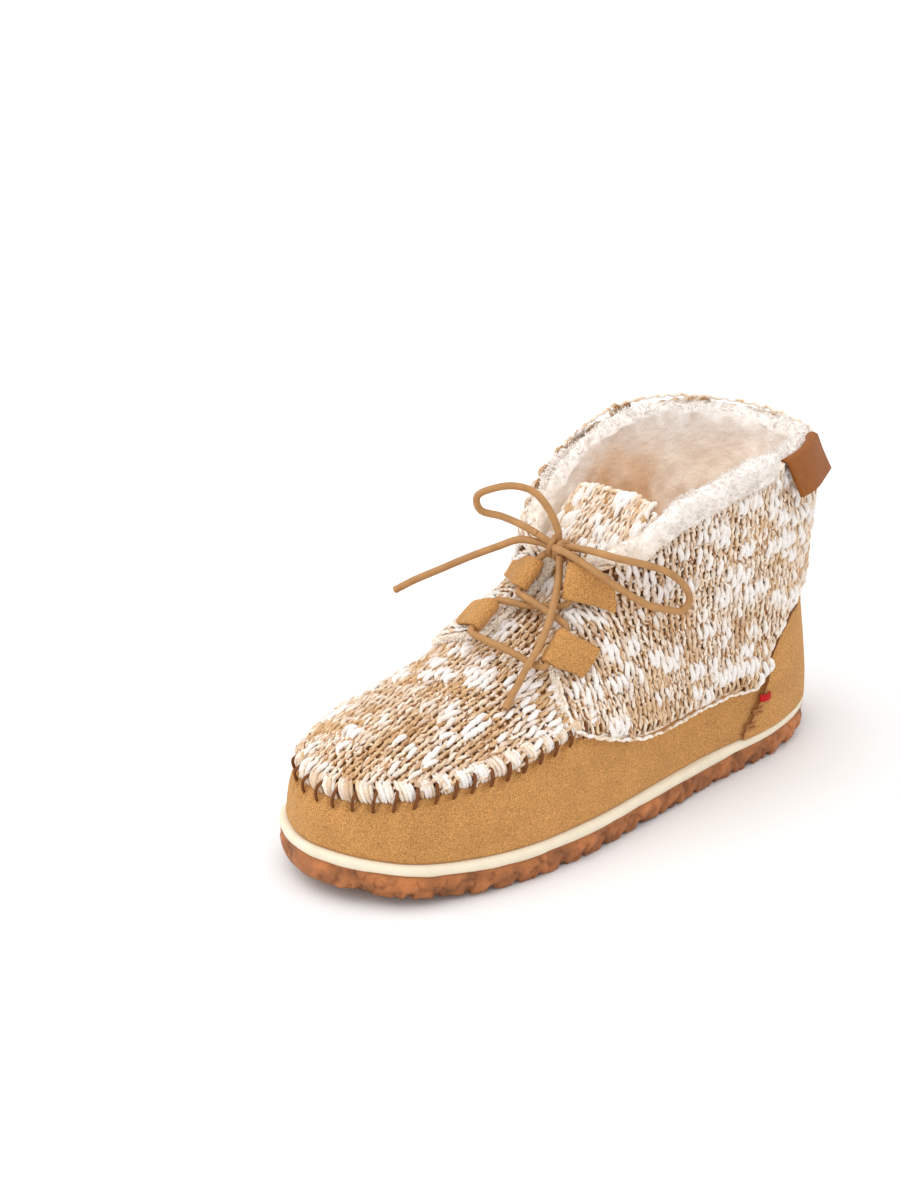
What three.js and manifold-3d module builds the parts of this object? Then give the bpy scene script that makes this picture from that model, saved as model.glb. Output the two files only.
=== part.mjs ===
// Ankle-high slipper bootie, left shoe, standing empty and unbent on its sole.
// Millimetres, +X to the toe, +Y to the outer (lateral) side, +Z up.
// Every surface of the upper comes from one function, form(): a vamp made of
// cross-sections along the foot, blended with an ankle shaft made of level rings.
import * as THREE from 'three';
import * as BufferGeometryUtils from 'three/addons/utils/BufferGeometryUtils.js';
import Module from 'manifold-3d';

const wasm = await Module();
wasm.setup();

// ---------------------------------------------------------------- sizes
const LENGTH = 262;            // outsole, heel to toe
const RUBBER_TOP = 10.35;      // outsole thickness at its side
const WELT_BOTTOM = 10.65;     // cream slab starts
const WELT_TOP = 14.9;         // cream slab ends
const GAP = 0.3;               // between pieces that meet
const TOE_SPRING = 8;          // rise of the sole under the toe tip
const SPRING_FROM = 173;       // where the rise starts
const ARCH_RISE = 1.4;         // hollow under the waist
const GROOVE_PITCH = 11.5, GROOVE_WIDTH = 3, GROOVE_DEPTH = 2.4;
const FEATHER_INSET = 3.2;     // upper stands this far inside the sole's edge
const WALL = 7.2;              // suede or knit backing with its fleece
const KNIT = 3.2;              // quarter's knit over that wall
const FLAP = 6.5;              // flap's knit and fleece at the throat
const COUNTER = 1.7;           // suede heel counter
const TONGUE = 5.8;            // knit tongue with its fleece
const INSOLE = 4.5;
const LACE_R = 1.5;            // round leather lace
const TUNNEL_R = 2.4, TAB_R = 3.5, TAB = 2; // folded tab: tunnel, roll, leather
const CENTRE = new THREE.Vector3(55, 0, 30);  // rays of the upper start here

// ---------------------------------------------------------------- tables
// sole outline, from the heel round the outer side to the toe and back
const SOLE = [
  { x: 0, y: -0.5 }, { x: 9.5, y: 22 }, { x: 36, y: 35.9 }, { x: 75, y: 40.2 }, { x: 112, y: 45.2 },
  { x: 160, y: 51.2 }, { x: 205, y: 48.2 }, { x: 243, y: 33.5 }, { x: 262, y: -1.5 }, { x: 248, y: -33 },
  { x: 218, y: -45.5 }, { x: 180, y: -50 }, { x: 145, y: -44.3 }, { x: 105, y: -37.4 }, { x: 70, y: -34.9 },
  { x: 35, y: -33.8 }, { x: 9.5, y: -22.5 },
];
// height of the vamp's and tongue's centre line
const RIDGE = [
  { x: 0, z: 38 }, { x: 25, z: 50 }, { x: 50, z: 78 }, { x: 72, z: 112 }, { x: 84, z: 132 }, { x: 94, z: 128.2 },
  { x: 100, z: 123 }, { x: 106, z: 118 }, { x: 120, z: 107 }, { x: 135, z: 96 }, { x: 150, z: 86.8 }, { x: 165, z: 79.4 },
  { x: 185, z: 71.6 }, { x: 205, z: 65.6 }, { x: 225, z: 60.2 }, { x: 245, z: 54.6 }, { x: 262, z: 50 },
];
// squareness of the vamp's cross-sections
const SQUARE = [{ x: 0, p: 2.2 }, { x: 90, p: 1.9 }, { x: 150, p: 1.9 }, { x: 185, p: 2.15 }, { x: 215, p: 2.35 }, { x: 262, p: 2.4 }];
// level rings of the ankle shaft, without the knit
const SHAFT = [
  { z: 10, back: 5.4, mid: 66, front: 128, lateral: 34.6, medial: 32.4, p: 2.2 },
  { z: 30, back: 4.4, mid: 62, front: 133, lateral: 35.6, medial: 33.6, p: 2.2 },
  { z: 60, back: 7.6, mid: 58, front: 136, lateral: 34.4, medial: 33.4, p: 2.25 },
  { z: 85, back: 8.2, mid: 58, front: 136, lateral: 36, medial: 35.2, p: 2.3 },
  { z: 110, back: 6.4, mid: 59, front: 128, lateral: 38.2, medial: 37.6, p: 2.55 },
  { z: 145, back: 3.2, mid: 60, front: 115, lateral: 40.4, medial: 39.8, p: 3.1 },
];
// collar edge height round the shaft, angle from the toe
const COLLAR = [{ a: 0, z: 127 }, { a: 30, z: 127 }, { a: 42, z: 129.5 }, { a: 55, z: 133.5 }, { a: 70, z: 137 }, { a: 92, z: 138 }, { a: 120, z: 136.5 }, { a: 150, z: 132.5 }, { a: 180, z: 130.5 }];
// quarter's lower edge, as the angle round the shoe and the angle of sight from CENTRE
const QUARTER = [{ a: 21.1, e: 11.7 }, { a: 24, e: 9.8 }, { a: 28, e: 7.8 }, { a: 31.6, e: 6.4 }, { a: 35.9, e: 6.3 }, { a: 48, e: 9.6 }, { a: 68.7, e: 12.6 }, { a: 90, e: 10.6 },
  { a: 103, e: 12.6 }, { a: 107.4, e: 24.6 }, { a: 118, e: 33.6 }, { a: 131.5, e: 39.2 }, { a: 147, e: 37.4 }, { a: 180, e: 35.6 }];
// flap's front edge from its lower corner up to the collar's front corner
const FLAP_EDGE = [{ e: 11.7, lateral: 21.1, medial: -20.5 }, { e: 18, lateral: 17.2, medial: -12.5 }, { e: 24.4, lateral: 12.8, medial: -2.4 }, { e: 31.8, lateral: 12.2, medial: -2 },
  { e: 37.6, lateral: 9.6, medial: -1 }, { e: 44.5, lateral: 9, medial: -1 }, { e: 46.5, lateral: 13, medial: -9 }, { e: 48.5, lateral: 20.5, medial: -19.5 }, { e: 50.4, lateral: 27, medial: -26 }, { e: 54.1, lateral: 35, medial: -34.5 }, { e: 59, lateral: 42.4, medial: -42.4 }];
const THROAT_E = 24.4;         // throat's lower end
const COUNTER_TOP = [{ a: 80.5, z: 18 }, { a: 86, z: 21.5 }, { a: 96, z: 30.7 }, { a: 103, z: 37 }, { a: 107.4, z: 45.6 }, { a: 118, z: 54 }, { a: 131.5, z: 61 }, { a: 147, z: 62 }, { a: 180, z: 62.5 }];
// lace tabs: the fold's two ends on the flap
const TABS = [
  { name: 'tab_lateral_lower', side: 1, a0: 12.1, e0: 22.2, a1: 11.4, e1: 28.6 },
  { name: 'tab_lateral_upper', side: 1, a0: 9.5, e0: 38.8, a1: 9.9, e1: 47.5 },
  { name: 'tab_medial_lower', side: -1, a0: 0.7, e0: 22.5, a1: -1.1, e1: 27.8 },
  { name: 'tab_medial_upper', side: -1, a0: 1, e0: 34.3, a1: 1, e1: 42.5 },
];
const KNOT = new THREE.Vector3(133.5, 5.2, 113.4);
// free lace: bow loops and ends, starting and ending at the knot's side
const BOW_MEDIAL = [{ x: 133.3, y: 4, z: 119.6 }, { x: 133.8, y: 0, z: 127 }, { x: 135.8, y: -8, z: 134.1 }, { x: 140.9, y: -14, z: 136.3 }, { x: 146.3, y: -20, z: 134.9 },
  { x: 150.5, y: -26, z: 130.5 }, { x: 148.9, y: -26, z: 123.9 }, { x: 144.5, y: -18, z: 122.6 }, { x: 142, y: -9, z: 121.4 }, { x: 139.6, y: -2, z: 119.2 }];
const BOW_LATERAL = [{ x: 134.5, y: 12.4, z: 116.8 }, { x: 134, y: 25, z: 119.5 }, { x: 129.5, y: 34, z: 118.4 }, { x: 120, y: 41, z: 115 }, { x: 112, y: 45.5, z: 110.8 }, { x: 105, y: 48, z: 103.2 }, { x: 102.8, y: 48.4, z: 96.6 },
  { x: 105.8, y: 48, z: 93 }, { x: 112.3, y: 46, z: 94.6 }, { x: 120.5, y: 43, z: 98.2 }, { x: 129.5, y: 37, z: 105.8 }, { x: 136.5, y: 28, z: 113.2 }, { x: 139.6, y: 16, z: 117 }, { x: 140.3, y: 9, z: 117.2 }];
const END_FRONT = [{ x: 138.2, y: 10.2, z: 113.6 }, { x: 140.5, y: 12.4, z: 106.9 }, { x: 147.5, y: 18, z: 100.6 }, { x: 153.8, y: 22.2, z: 95.9 }, { x: 160.2, y: 25.6, z: 90.4 }, { x: 165.5, y: 27.1, z: 86.1 }, { x: 171, y: 28, z: 81.6 }, { x: 174.7, y: 27.5, z: 75.6 }, { x: 178.6, y: 27.2, z: 70.5 }, { x: 182.7, y: 28.4, z: 67.1 }];
const END_MEDIAL = [{ x: 138.5, y: -1.4, z: 115.2 }, { x: 144.4, y: -7, z: 116.3 }, { x: 150.3, y: -13.6, z: 112.6 }, { x: 155.8, y: -25, z: 105.4 }, { x: 161.5, y: -36.5, z: 97.4 }, { x: 166.5, y: -46, z: 90.8 }, { x: 171, y: -53, z: 85.1 }];

// ---------------------------------------------------------------- helpers
const RAD = Math.PI / 180;
const clamp = (v, a, b) => Math.min(Math.max(v, a), b);
const mix = (a, b, t) => a + (b - a) * t;
const ease = (a, b, v) => { const t = clamp((v - a) / (b - a), 0, 1); return t * t * (3 - 2 * t); };
// smooth curve through a table's rows
function lookup(rows, key, col, v) {
  const n = rows.length, k = clamp(v, rows[0][key], rows[n - 1][key]);
  let i = 0;
  while (i < n - 2 && k >= rows[i + 1][key]) i++;
  const slope = (j) => (rows[j + 1][col] - rows[j][col]) / (rows[j + 1][key] - rows[j][key]);
  const tangent = (j) => {
    if (j === 0) return slope(0);
    if (j === n - 1) return slope(n - 2);
    const a = rows[j][key] - rows[j - 1][key], b = rows[j + 1][key] - rows[j][key];
    return (slope(j - 1) * b + slope(j) * a) / (a + b);
  };
  const h = rows[i + 1][key] - rows[i][key], t = (k - rows[i][key]) / h;
  return (2 * t ** 3 - 3 * t * t + 1) * rows[i][col] + (t ** 3 - 2 * t * t + t) * h * tangent(i)
    + (-2 * t ** 3 + 3 * t * t) * rows[i + 1][col] + (t ** 3 - t * t) * h * tangent(i + 1);
}
const linear = (rows, key, col, v) => {
  const k = clamp(v, rows[0][key], rows[rows.length - 1][key]);
  let i = 0;
  while (i < rows.length - 2 && k >= rows[i + 1][key]) i++;
  return mix(rows[i][col], rows[i + 1][col], (k - rows[i][key]) / (rows[i + 1][key] - rows[i][key]));
};
const springAt = (x) => TOE_SPRING * Math.max(0, (x - SPRING_FROM) / (LENGTH - SPRING_FROM)) ** 2;

// sole outline at an inset, as its outer and inner side over x
const outline = new THREE.CatmullRomCurve3(SOLE.map((r) => new THREE.Vector3(r.x, r.y, 0)), true, 'centripetal').getPoints(17 * 24).slice(0, -1);
function sidesAt(inset) {
  const n = outline.length;
  const loop = outline.map((p, i) => {
    const a = outline[(i + n - 1) % n], b = outline[(i + 1) % n];
    const t = b.clone().sub(a).normalize();
    return new THREE.Vector3(p.x + t.y * inset, p.y - t.x * inset, 0);
  });
  let heel = 0, toe = 0;
  loop.forEach((p, i) => { if (p.x < loop[heel].x) heel = i; if (p.x > loop[toe].x) toe = i; });
  const walk = (step) => { const out = []; for (let i = heel; ; i = (i + step + n) % n) { out.push(loop[i]); if (i === toe) return out; } };
  const [a, b] = [walk(1), walk(-1)];
  const lateral = a[Math.floor(a.length / 2)].y > 0 ? a : b, medial = lateral === a ? b : a;
  const at = (side, x) => {
    let lo = 0, hi = side.length - 1;
    while (hi - lo > 1) { const m = (lo + hi) >> 1; if (side[m].x <= x) lo = m; else hi = m; }
    const t = clamp((x - side[lo].x) / Math.max(1e-9, side[hi].x - side[lo].x), 0, 1);
    return mix(side[lo].y, side[hi].y, t);
  };
  return { heel: loop[heel].x, toe: loop[toe].x, tip: loop[toe].y, lateral: (x) => at(lateral, x), medial: (x) => at(medial, x) };
}

// ---------------------------------------------------------------- the upper's form
const feather = sidesAt(FEATHER_INSET);
const featherZ = (x) => WELT_TOP + GAP + springAt(x);
function ridgeZ(x) {
  const t = clamp((x - 198) / (feather.toe - 198), 0, 0.99999), z0 = featherZ(x);
  return z0 + (lookup(RIDGE, 'x', 'z', x) - z0) * (1 - t ** 6) ** 0.435;
}
const centreY = (x) => feather.tip * ease(150, feather.toe, x);
function vampSection(x, y) {
  const yc = centreY(x);
  return { yc, w: Math.max(0.3, y > yc ? feather.lateral(x) - yc : yc - feather.medial(x)), z0: featherZ(x), h: Math.max(0.3, ridgeZ(x) - featherZ(x)), p: lookup(SQUARE, 'x', 'p', x) };
}
// distance-like value, negative inside
function vamp(x, y, z) {
  const xc = clamp(x, feather.heel + 0.05, feather.toe - 0.05), s = vampSection(xc, y);
  const a = Math.abs(y - s.yc) / s.w, up = Math.max(z - s.z0, 0), b = up / s.h;
  const rho = Math.max((a ** s.p + b ** s.p) ** (1 / s.p), 1e-4);
  const d = Math.hypot(y - s.yc, up) * (1 - 1 / rho), over = Math.abs(x - xc);
  return over > 0 ? Math.max(d, 0) + over : d;
}
function shaft(x, y, z) {
  const c = (col) => lookup(SHAFT, 'z', col, z), mid = c('mid');
  const A = x < mid ? mid - c('back') : c('front') - mid, B = y > 0 ? c('lateral') : c('medial'), p = x < mid ? 2.3 : c('p');
  const rho = Math.max(((Math.abs(x - mid) / A) ** p + (Math.abs(y) / B) ** p) ** (1 / p), 1e-4);
  return Math.hypot(x - mid, y) * (1 - 1 / rho);
}
const BLEND = 7;
function form(x, y, z) {
  const a = vamp(x, y, z), b = shaft(x, y, z), h = clamp(0.5 + 0.5 * (b - a) / BLEND, 0, 1);
  return mix(b, a, h) - BLEND * h * (1 - h);
}
function normalOf(p, field = form) {
  const e = 0.6;
  return new THREE.Vector3(field(p.x + e, p.y, p.z) - field(p.x - e, p.y, p.z), field(p.x, p.y + e, p.z) - field(p.x, p.y - e, p.z), field(p.x, p.y, p.z + e) - field(p.x, p.y, p.z - e)).normalize();
}
const sight = (a, e) => new THREE.Vector3(Math.cos(a * RAD) * Math.cos(e * RAD), Math.sin(a * RAD) * Math.cos(e * RAD), Math.sin(e * RAD));
// where a ray from CENTRE leaves the form
function reach(a, e) {
  const d = sight(a, e), f = (r) => form(CENTRE.x + d.x * r, CENTRE.y + d.y * r, CENTRE.z + d.z * r);
  let lo = 2, hi = 5;
  while (hi < 260 && f(hi) < 0) { lo = hi; hi += 3; }
  for (let k = 0; k < 24; k++) { const m = (lo + hi) / 2; if (f(m) < 0) lo = m; else hi = m; }
  return CENTRE.clone().addScaledVector(d, (lo + hi) / 2);
}
// the sight angle at which the surface passes a height
function sightFor(a, height) {
  let lo = -48, hi = 74;
  for (let k = 0; k < 24; k++) { const m = (lo + hi) / 2, p = reach(a, m); if (p.z < height(p)) lo = m; else hi = m; }
  return (lo + hi) / 2;
}
const proud = (p, d) => p.clone().addScaledVector(normalOf(p), d);
const flapDepth = (p) => mix(KNIT, FLAP, (1 - ease(18, 42, Math.abs(p.y))) * ease(84, 104, p.x));

// ---------------------------------------------------------------- solids
function closed(positions, index) {
  const g = new THREE.BufferGeometry();
  g.setAttribute('position', new THREE.Float32BufferAttribute(positions, 3));
  g.setIndex(index);
  let volume = 0;
  const v = (i) => new THREE.Vector3().fromArray(positions, 3 * i);
  for (let i = 0; i < index.length; i += 3) volume += v(index[i]).dot(v(index[i + 1]).cross(v(index[i + 2])));
  if (volume < 0) for (let i = 0; i < index.length; i += 3) [index[i + 1], index[i + 2]] = [index[i + 2], index[i + 1]];
  g.setIndex(index);
  return g;
}
// a thick sheet between two grids of points; wrap joins the last column to the first
function sheet(outer, inner, wrap = false) {
  const n = outer.length, m = outer[0].length, positions = [], index = [];
  for (const grid of [outer, inner]) for (const col of grid) for (const p of col) positions.push(p.x, p.y, p.z);
  const id = (side, i, j) => side * n * m + (i % n) * m + j;
  const quad = (a, b, c, d) => index.push(a, b, c, a, c, d);
  const last = wrap ? n : n - 1;
  for (let i = 0; i < last; i++) {
    for (let j = 0; j < m - 1; j++) {
      quad(id(0, i, j), id(0, i + 1, j), id(0, i + 1, j + 1), id(0, i, j + 1));
      quad(id(1, i, j), id(1, i, j + 1), id(1, i + 1, j + 1), id(1, i + 1, j));
    }
    quad(id(0, i, 0), id(1, i, 0), id(1, i + 1, 0), id(0, i + 1, 0));
    quad(id(0, i, m - 1), id(0, i + 1, m - 1), id(1, i + 1, m - 1), id(1, i, m - 1));
  }
  if (!wrap) for (let j = 0; j < m - 1; j++) {
    quad(id(0, 0, j), id(0, 0, j + 1), id(1, 0, j + 1), id(1, 0, j));
    quad(id(0, n - 1, j), id(1, n - 1, j), id(1, n - 1, j + 1), id(0, n - 1, j + 1));
  }
  return closed(positions, index);
}
// rings of equal count joined along their row and closed at both ends
function rings(rows) {
  const m = rows[0].length, positions = [], index = [];
  for (const row of rows) for (const p of row) positions.push(p.x, p.y, p.z);
  for (let i = 0; i < rows.length - 1; i++) for (let j = 0; j < m; j++) {
    const a = i * m + j, b = i * m + (j + 1) % m, c = a + m, d = b + m;
    index.push(a, b, d, a, d, c);
  }
  for (let j = 1; j < m - 1; j++) { index.push(0, j + 1, j); const e = (rows.length - 1) * m; index.push(e, e + j, e + j + 1); }
  return closed(positions, index);
}
function solid(geometry) {
  const g = geometry.clone();
  for (const name of Object.keys(g.attributes)) if (name !== 'position') g.deleteAttribute(name);
  const w = BufferGeometryUtils.mergeVertices(g, 1e-4);
  return new wasm.Manifold(new wasm.Mesh({ numProp: 3, vertProperties: new Float32Array(w.attributes.position.array), triVerts: new Uint32Array(w.index.array) }));
}
function geometryOf(manifold) {
  const m = manifold.getMesh(), g = new THREE.BufferGeometry(), p = new Float32Array(m.vertProperties.length / m.numProp * 3);
  for (let i = 0; i < p.length / 3; i++) for (let k = 0; k < 3; k++) p[3 * i + k] = m.vertProperties[i * m.numProp + k];
  g.setAttribute('position', new THREE.BufferAttribute(p, 3));
  g.setIndex(new THREE.BufferAttribute(new Uint32Array(m.triVerts), 1));
  return g;
}

// ---------------------------------------------------------------- sole
// slab with the sole's outline: levels from bottom to top, each with its inset and height
function slab(levels, stations = 46) {
  const parts = levels.map((l) => ({ ...l, s: sidesAt(l.inset) })), rows = [];
  for (let k = 0; k <= stations; k++) {
    const t = mix(0.035, Math.PI - 0.035, k / stations), f = (1 - Math.cos(t)) / 2;
    const point = (l, side) => { const x = mix(l.s.heel, l.s.toe, f); return new THREE.Vector3(x, l.s[side](x), l.z + springAt(x) + (l.arch ?? 0) * ease(78, 100, x) * (1 - ease(118, 142, x))); };
    rows.push([...parts.map((l) => point(l, 'lateral')), ...[...parts].reverse().map((l) => point(l, 'medial'))]);
  }
  return rings(rows);
}
let outsole = solid(slab([{ inset: 1.9, z: 0, arch: ARCH_RISE }, { inset: 0.4, z: 4.2 }, { inset: 0, z: 7.5 }, { inset: 0.5, z: RUBBER_TOP }]));
for (let x = 9; x < LENGTH - 6; x += GROOVE_PITCH) {
  const cut = new THREE.BoxGeometry(GROOVE_WIDTH, 130, 2 * GROOVE_DEPTH);
  const slope = x > SPRING_FROM ? Math.atan((springAt(x + 1) - springAt(x - 1)) / 2) : 0;
  cut.applyMatrix4(new THREE.Matrix4().makeRotationY(-slope).setPosition(x, 0, springAt(x)));
  outsole = outsole.subtract(solid(cut));
}
const midsole = slab([{ inset: 0.7, z: WELT_BOTTOM }, { inset: 0.1, z: 12.8 }, { inset: 0.9, z: WELT_TOP }]);
const insole = slab([{ inset: FEATHER_INSET + WALL + 1.6, z: WELT_TOP + GAP }, { inset: FEATHER_INSET + WALL + 2.6, z: WELT_TOP + GAP + INSOLE }], 30);

// ---------------------------------------------------------------- upper
const COLUMNS = 62, ROWS = 14;
function evenAngles(count) {
  const fine = [];
  for (let a = 0; a <= 360; a += 1.5) { const p = reach(a, sightFor(a, () => 36)); fine.push({ a, p, s: 0 }); }
  for (let i = 1; i < fine.length; i++) fine[i].s = fine[i - 1].s + fine[i].p.distanceTo(fine[i - 1].p);
  return Array.from({ length: count }, (_, k) => linear(fine, 's', 'a', k / count * fine[fine.length - 1].s));
}
const fold = (a) => { const w = ((a % 360) + 360) % 360; return w > 180 ? 360 - w : w; };
const collarZ = (a) => lookup(COLLAR, 'a', 'z', fold(a));
const angles = evenAngles(COLUMNS);
const shellOuter = angles.map((a) => {
  const e0 = sightFor(a, (p) => featherZ(p.x)), e1 = sightFor(a, () => collarZ(a)), line = [];
  for (let k = 0; k <= 48; k++) line.push({ p: reach(a, mix(e0, e1, k / 48)), e: mix(e0, e1, k / 48), s: 0 });
  for (let k = 1; k <= 48; k++) line[k].s = line[k - 1].s + line[k].p.distanceTo(line[k - 1].p);
  return Array.from({ length: ROWS + 1 }, (_, j) => reach(a, linear(line, 's', 'e', line[48].s * (j / ROWS) ** 1.25)));
});
const shellInner = shellOuter.map((col) => col.map((p, j) => { const q = proud(p, -WALL); if (j === 0) q.z = p.z; return q; }));
let upper = solid(sheet(shellOuter, shellInner, true));

// knitted quarters: sheets over the shell from their lower edge to the collar
const flapColumns = 22, flapRows = 10;
function quarter(side) {
  const s = side === 'lateral' ? 1 : -1;
  const edge = (t) => { const e = mix(FLAP_EDGE[0].e, FLAP_EDGE[FLAP_EDGE.length - 1].e, t); const over = 1.5 * ease(18, 26, e) + 7 * ease(42, 47, e) * (1 - ease(53, 59, e)); return { a: s * linear(FLAP_EDGE, 'e', side, e) - over, e }; };
  const lowA = edge(0).a;
  const bottom = (u) => { const a = mix(lowA, 180, u ** 1.35); return { a, e: linear(QUARTER, 'a', 'e', a) }; };
  const top = (u) => { const a = mix(edge(1).a, 180, u); return { a, e: sightFor(s * a, () => collarZ(a)) }; };
  const [low, high] = [bottom(1).e, top(1).e], back = (t) => ({ a: 180, e: mix(low, high, t) });
  const outer = [], inner = [];
  for (let i = 0; i <= flapColumns; i++) {
    const u = i / flapColumns, b = bottom(u), tp = top(u), co = [], ci = [];
    for (let j = 0; j <= flapRows; j++) {
      const t = j / flapRows, l = edge(t), r = back(t), c = (k) => mix(l[k], r[k], u) + mix(b[k], tp[k], t)
        - mix(mix(edge(0)[k], back(0)[k], u), mix(edge(1)[k], back(1)[k], u), t);
      const p = reach(s * c('a'), c('e'));
      co.push(proud(p, flapDepth(p)));
      ci.push(proud(p, -1.5));
    }
    outer.push(co); inner.push(ci);
  }
  return solid(sheet(outer, inner));
}
upper = upper.add(quarter('lateral')).add(quarter('medial'));

// throat between the flaps
const slotFar = [], slotNear = [];
for (const side of ['medial', 'lateral']) {
  const far = [], near = [];
  for (let k = 0; k <= 32; k++) {
    const e = mix(THROAT_E, 72, k / 32), a = e > 59 ? (side === 'lateral' ? 1 : -1) * (42.4 + (e - 59) * 0.8) : linear(FLAP_EDGE, 'e', side, e);
    far.push(CENTRE.clone().addScaledVector(sight(a, e), 330));
    near.push(CENTRE.clone().addScaledVector(sight(a, e), 25));
  }
  slotFar.push(far); slotNear.push(near);
}
upper = upper.subtract(solid(sheet(slotFar, slotNear)));

// tongue: a sheet on the vamp's own function, its free end held flatter, and the room it takes under the flaps
function tongueTop(x, y) {
  const s = vampSection(x, y), z = s.z0 + s.h * Math.max(1e-6, 1 - (Math.abs(y - s.yc) / s.w) ** s.p) ** (1 / s.p);
  const flat = ridgeZ(x) + 1 + 0.15 * y - 0.004 * y * y;
  return new THREE.Vector3(x, y, z + (1 - ease(101, 142, x)) * Math.max(flat - z, 0) * (1 - ease(28, 34, Math.abs(y))));
}
function tongueSheet(x0, x1, extra, over, under) {
  const outer = [], inner = [];
  for (let i = 0; i <= 12; i++) {
    const x = mix(x0, x1, i / 12), half = mix(20, 25, ease(97, 135, x)) + extra, co = [], ci = [];
    for (let j = 0; j <= 10; j++) {
      const y = -1 + half * (2 * j / 10 - 1), p = tongueTop(x, y);
      const n = tongueTop(x + 0.4, y).sub(tongueTop(x - 0.4, y)).cross(tongueTop(x, y + 0.4).sub(tongueTop(x, y - 0.4))).normalize();
      co.push(p.clone().addScaledVector(n, over));
      ci.push(p.clone().addScaledVector(n, -under));
    }
    outer.push(co); inner.push(ci);
  }
  return sheet(outer, inner);
}
const tongue = tongueSheet(97.5, 164, 0, 0.2, TONGUE);
upper = upper.subtract(solid(tongueSheet(92, 164.6, 0.6, 0.8, 14)));

// heel counter: cut between two larger forms of the upper, and the room it takes from the quarters
function counterSheet(widen, rise, over, under) {
  const outer = [], inner = [];
  for (let k = 0; k <= 28; k++) {
    const a = mix(80.5 - widen, 279.5 + widen, k / 28), topZ = linear(COUNTER_TOP, 'a', 'z', fold(mix(80.5, 279.5, k / 28))) + rise, co = [], ci = [];
    const e0 = sightFor(a, (p) => featherZ(p.x) + 0.2), e1 = sightFor(a, () => topZ);
    for (let j = 0; j <= 4; j++) { const p = reach(a, mix(e0, e1, j / 4)); co.push(proud(p, over)); ci.push(proud(p, under)); }
    co[0].z = ci[0].z = featherZ(0) + 0.2;
    outer.push(co); inner.push(ci);
  }
  return sheet(outer, inner);
}
const counter = counterSheet(0, 0, GAP + COUNTER, GAP + 0.1);
upper = upper.subtract(solid(counterSheet(1, 0.7, 12, 0.08)));

// ---------------------------------------------------------------- lace tabs
const tabShape = new THREE.Shape();
tabShape.moveTo(15, 0.5);
tabShape.lineTo(15, 0.5 + TAB);
tabShape.lineTo(5.5, 0.5 + TAB + 0.9);
for (let k = 0; k <= 9; k++) { const t = mix(20, 262, k / 9) * RAD; tabShape.lineTo(TAB_R * Math.cos(t), 0.5 + TAB_R + TAB_R * Math.sin(t)); }
const tunnel = new THREE.Path();
for (let k = 0; k < 10; k++) { const t = -k / 10 * 2 * Math.PI, x = TUNNEL_R * Math.cos(t), y = 0.5 + TAB_R + TUNNEL_R * Math.sin(t); if (k) tunnel.lineTo(x, y); else tunnel.moveTo(x, y); }
tabShape.holes.push(tunnel);
const tabs = TABS.map((row) => {
  const onFlap = (a, e) => { const p = reach(a, e); return proud(p, flapDepth(p)); };
  const low = onFlap(row.a0, row.e0), high = onFlap(row.a1, row.e1), side = row.side;
  const along = high.clone().sub(low), length = along.length(), mid = low.clone().add(high).multiplyScalar(0.5);
  const b0 = onFlap(row.a0 + side * 8, row.e0 - 1.5), b1 = onFlap(row.a1 + side * 8, row.e1 - 1.5);
  const behind = b0.clone().add(b1).multiplyScalar(0.5).sub(mid);
  along.normalize();
  // the tab's plane follows the flap behind the fold
  const out = along.clone().add(b1.sub(b0).normalize()).cross(behind).normalize();
  if (out.z < 0) out.negate();
  along.addScaledVector(out, -along.dot(out)).normalize();
  const back = new THREE.Vector3().crossVectors(out, along);
  if (back.dot(behind) < 0) back.negate();
  // lift the flat tab until it clears the curved flap
  let lift = 0.9;
  for (const u of [-2, 2, 5, 8, 11, 14, 16]) for (const w of [-0.5, -0.25, 0, 0.25, 0.5]) {
    const q = mid.clone().addScaledVector(back, u).addScaledVector(along, w * length), r = q.clone().sub(CENTRE);
    const p = onFlap(Math.atan2(r.y, r.x) / RAD, Math.atan2(r.z, Math.hypot(r.x, r.y)) / RAD);
    lift = Math.max(lift, p.sub(q).dot(out) + 0.9);
  }
  const matrix = new THREE.Matrix4().makeBasis(back, out, new THREE.Vector3().crossVectors(back, out));
  const start = mid.clone().addScaledVector(out, lift);
  const g = new THREE.ExtrudeGeometry(tabShape, { depth: length, bevelEnabled: false, curveSegments: 1 });
  g.translate(0, 0, -length / 2);
  const axis = start.clone().addScaledVector(out, 0.5 + TAB_R);
  const end = (t) => axis.clone().addScaledVector(along, t * length / 2);
  return { name: row.name, geometry: g, matrix: matrix.setPosition(start), low: end(-1), high: end(1), beyondLow: end(-1.5), beyondHigh: end(1.5), inLow: end(-0.5), inHigh: end(0.5), axis, out };
});
const [LL, LU, ML, MU] = tabs;

// ---------------------------------------------------------------- lace
function tube(points, steps, radius = LACE_R) {
  const ring = new THREE.Shape();
  for (let k = 0; k < 8; k++) { const t = k / 8 * 2 * Math.PI; if (k) ring.lineTo(radius * Math.cos(t), radius * Math.sin(t)); else ring.moveTo(radius, 0); }
  const path = new THREE.CatmullRomCurve3(points.map((p) => new THREE.Vector3(p.x, p.y, p.z)), false, 'centripetal');
  return new THREE.ExtrudeGeometry(ring, { steps, extrudePath: path, bevelEnabled: false });
}
const between = (p, q, t, lift) => p.clone().lerp(q, t).addScaledVector(new THREE.Vector3(0.5, 0, 0.866), lift);
const through = (tab, up) => (up ? [tab.beyondLow, tab.low, tab.inLow, tab.axis, tab.inHigh, tab.high, tab.beyondHigh] : [tab.beyondHigh, tab.high, tab.inHigh, tab.axis, tab.inLow, tab.low, tab.beyondLow]);
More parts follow.
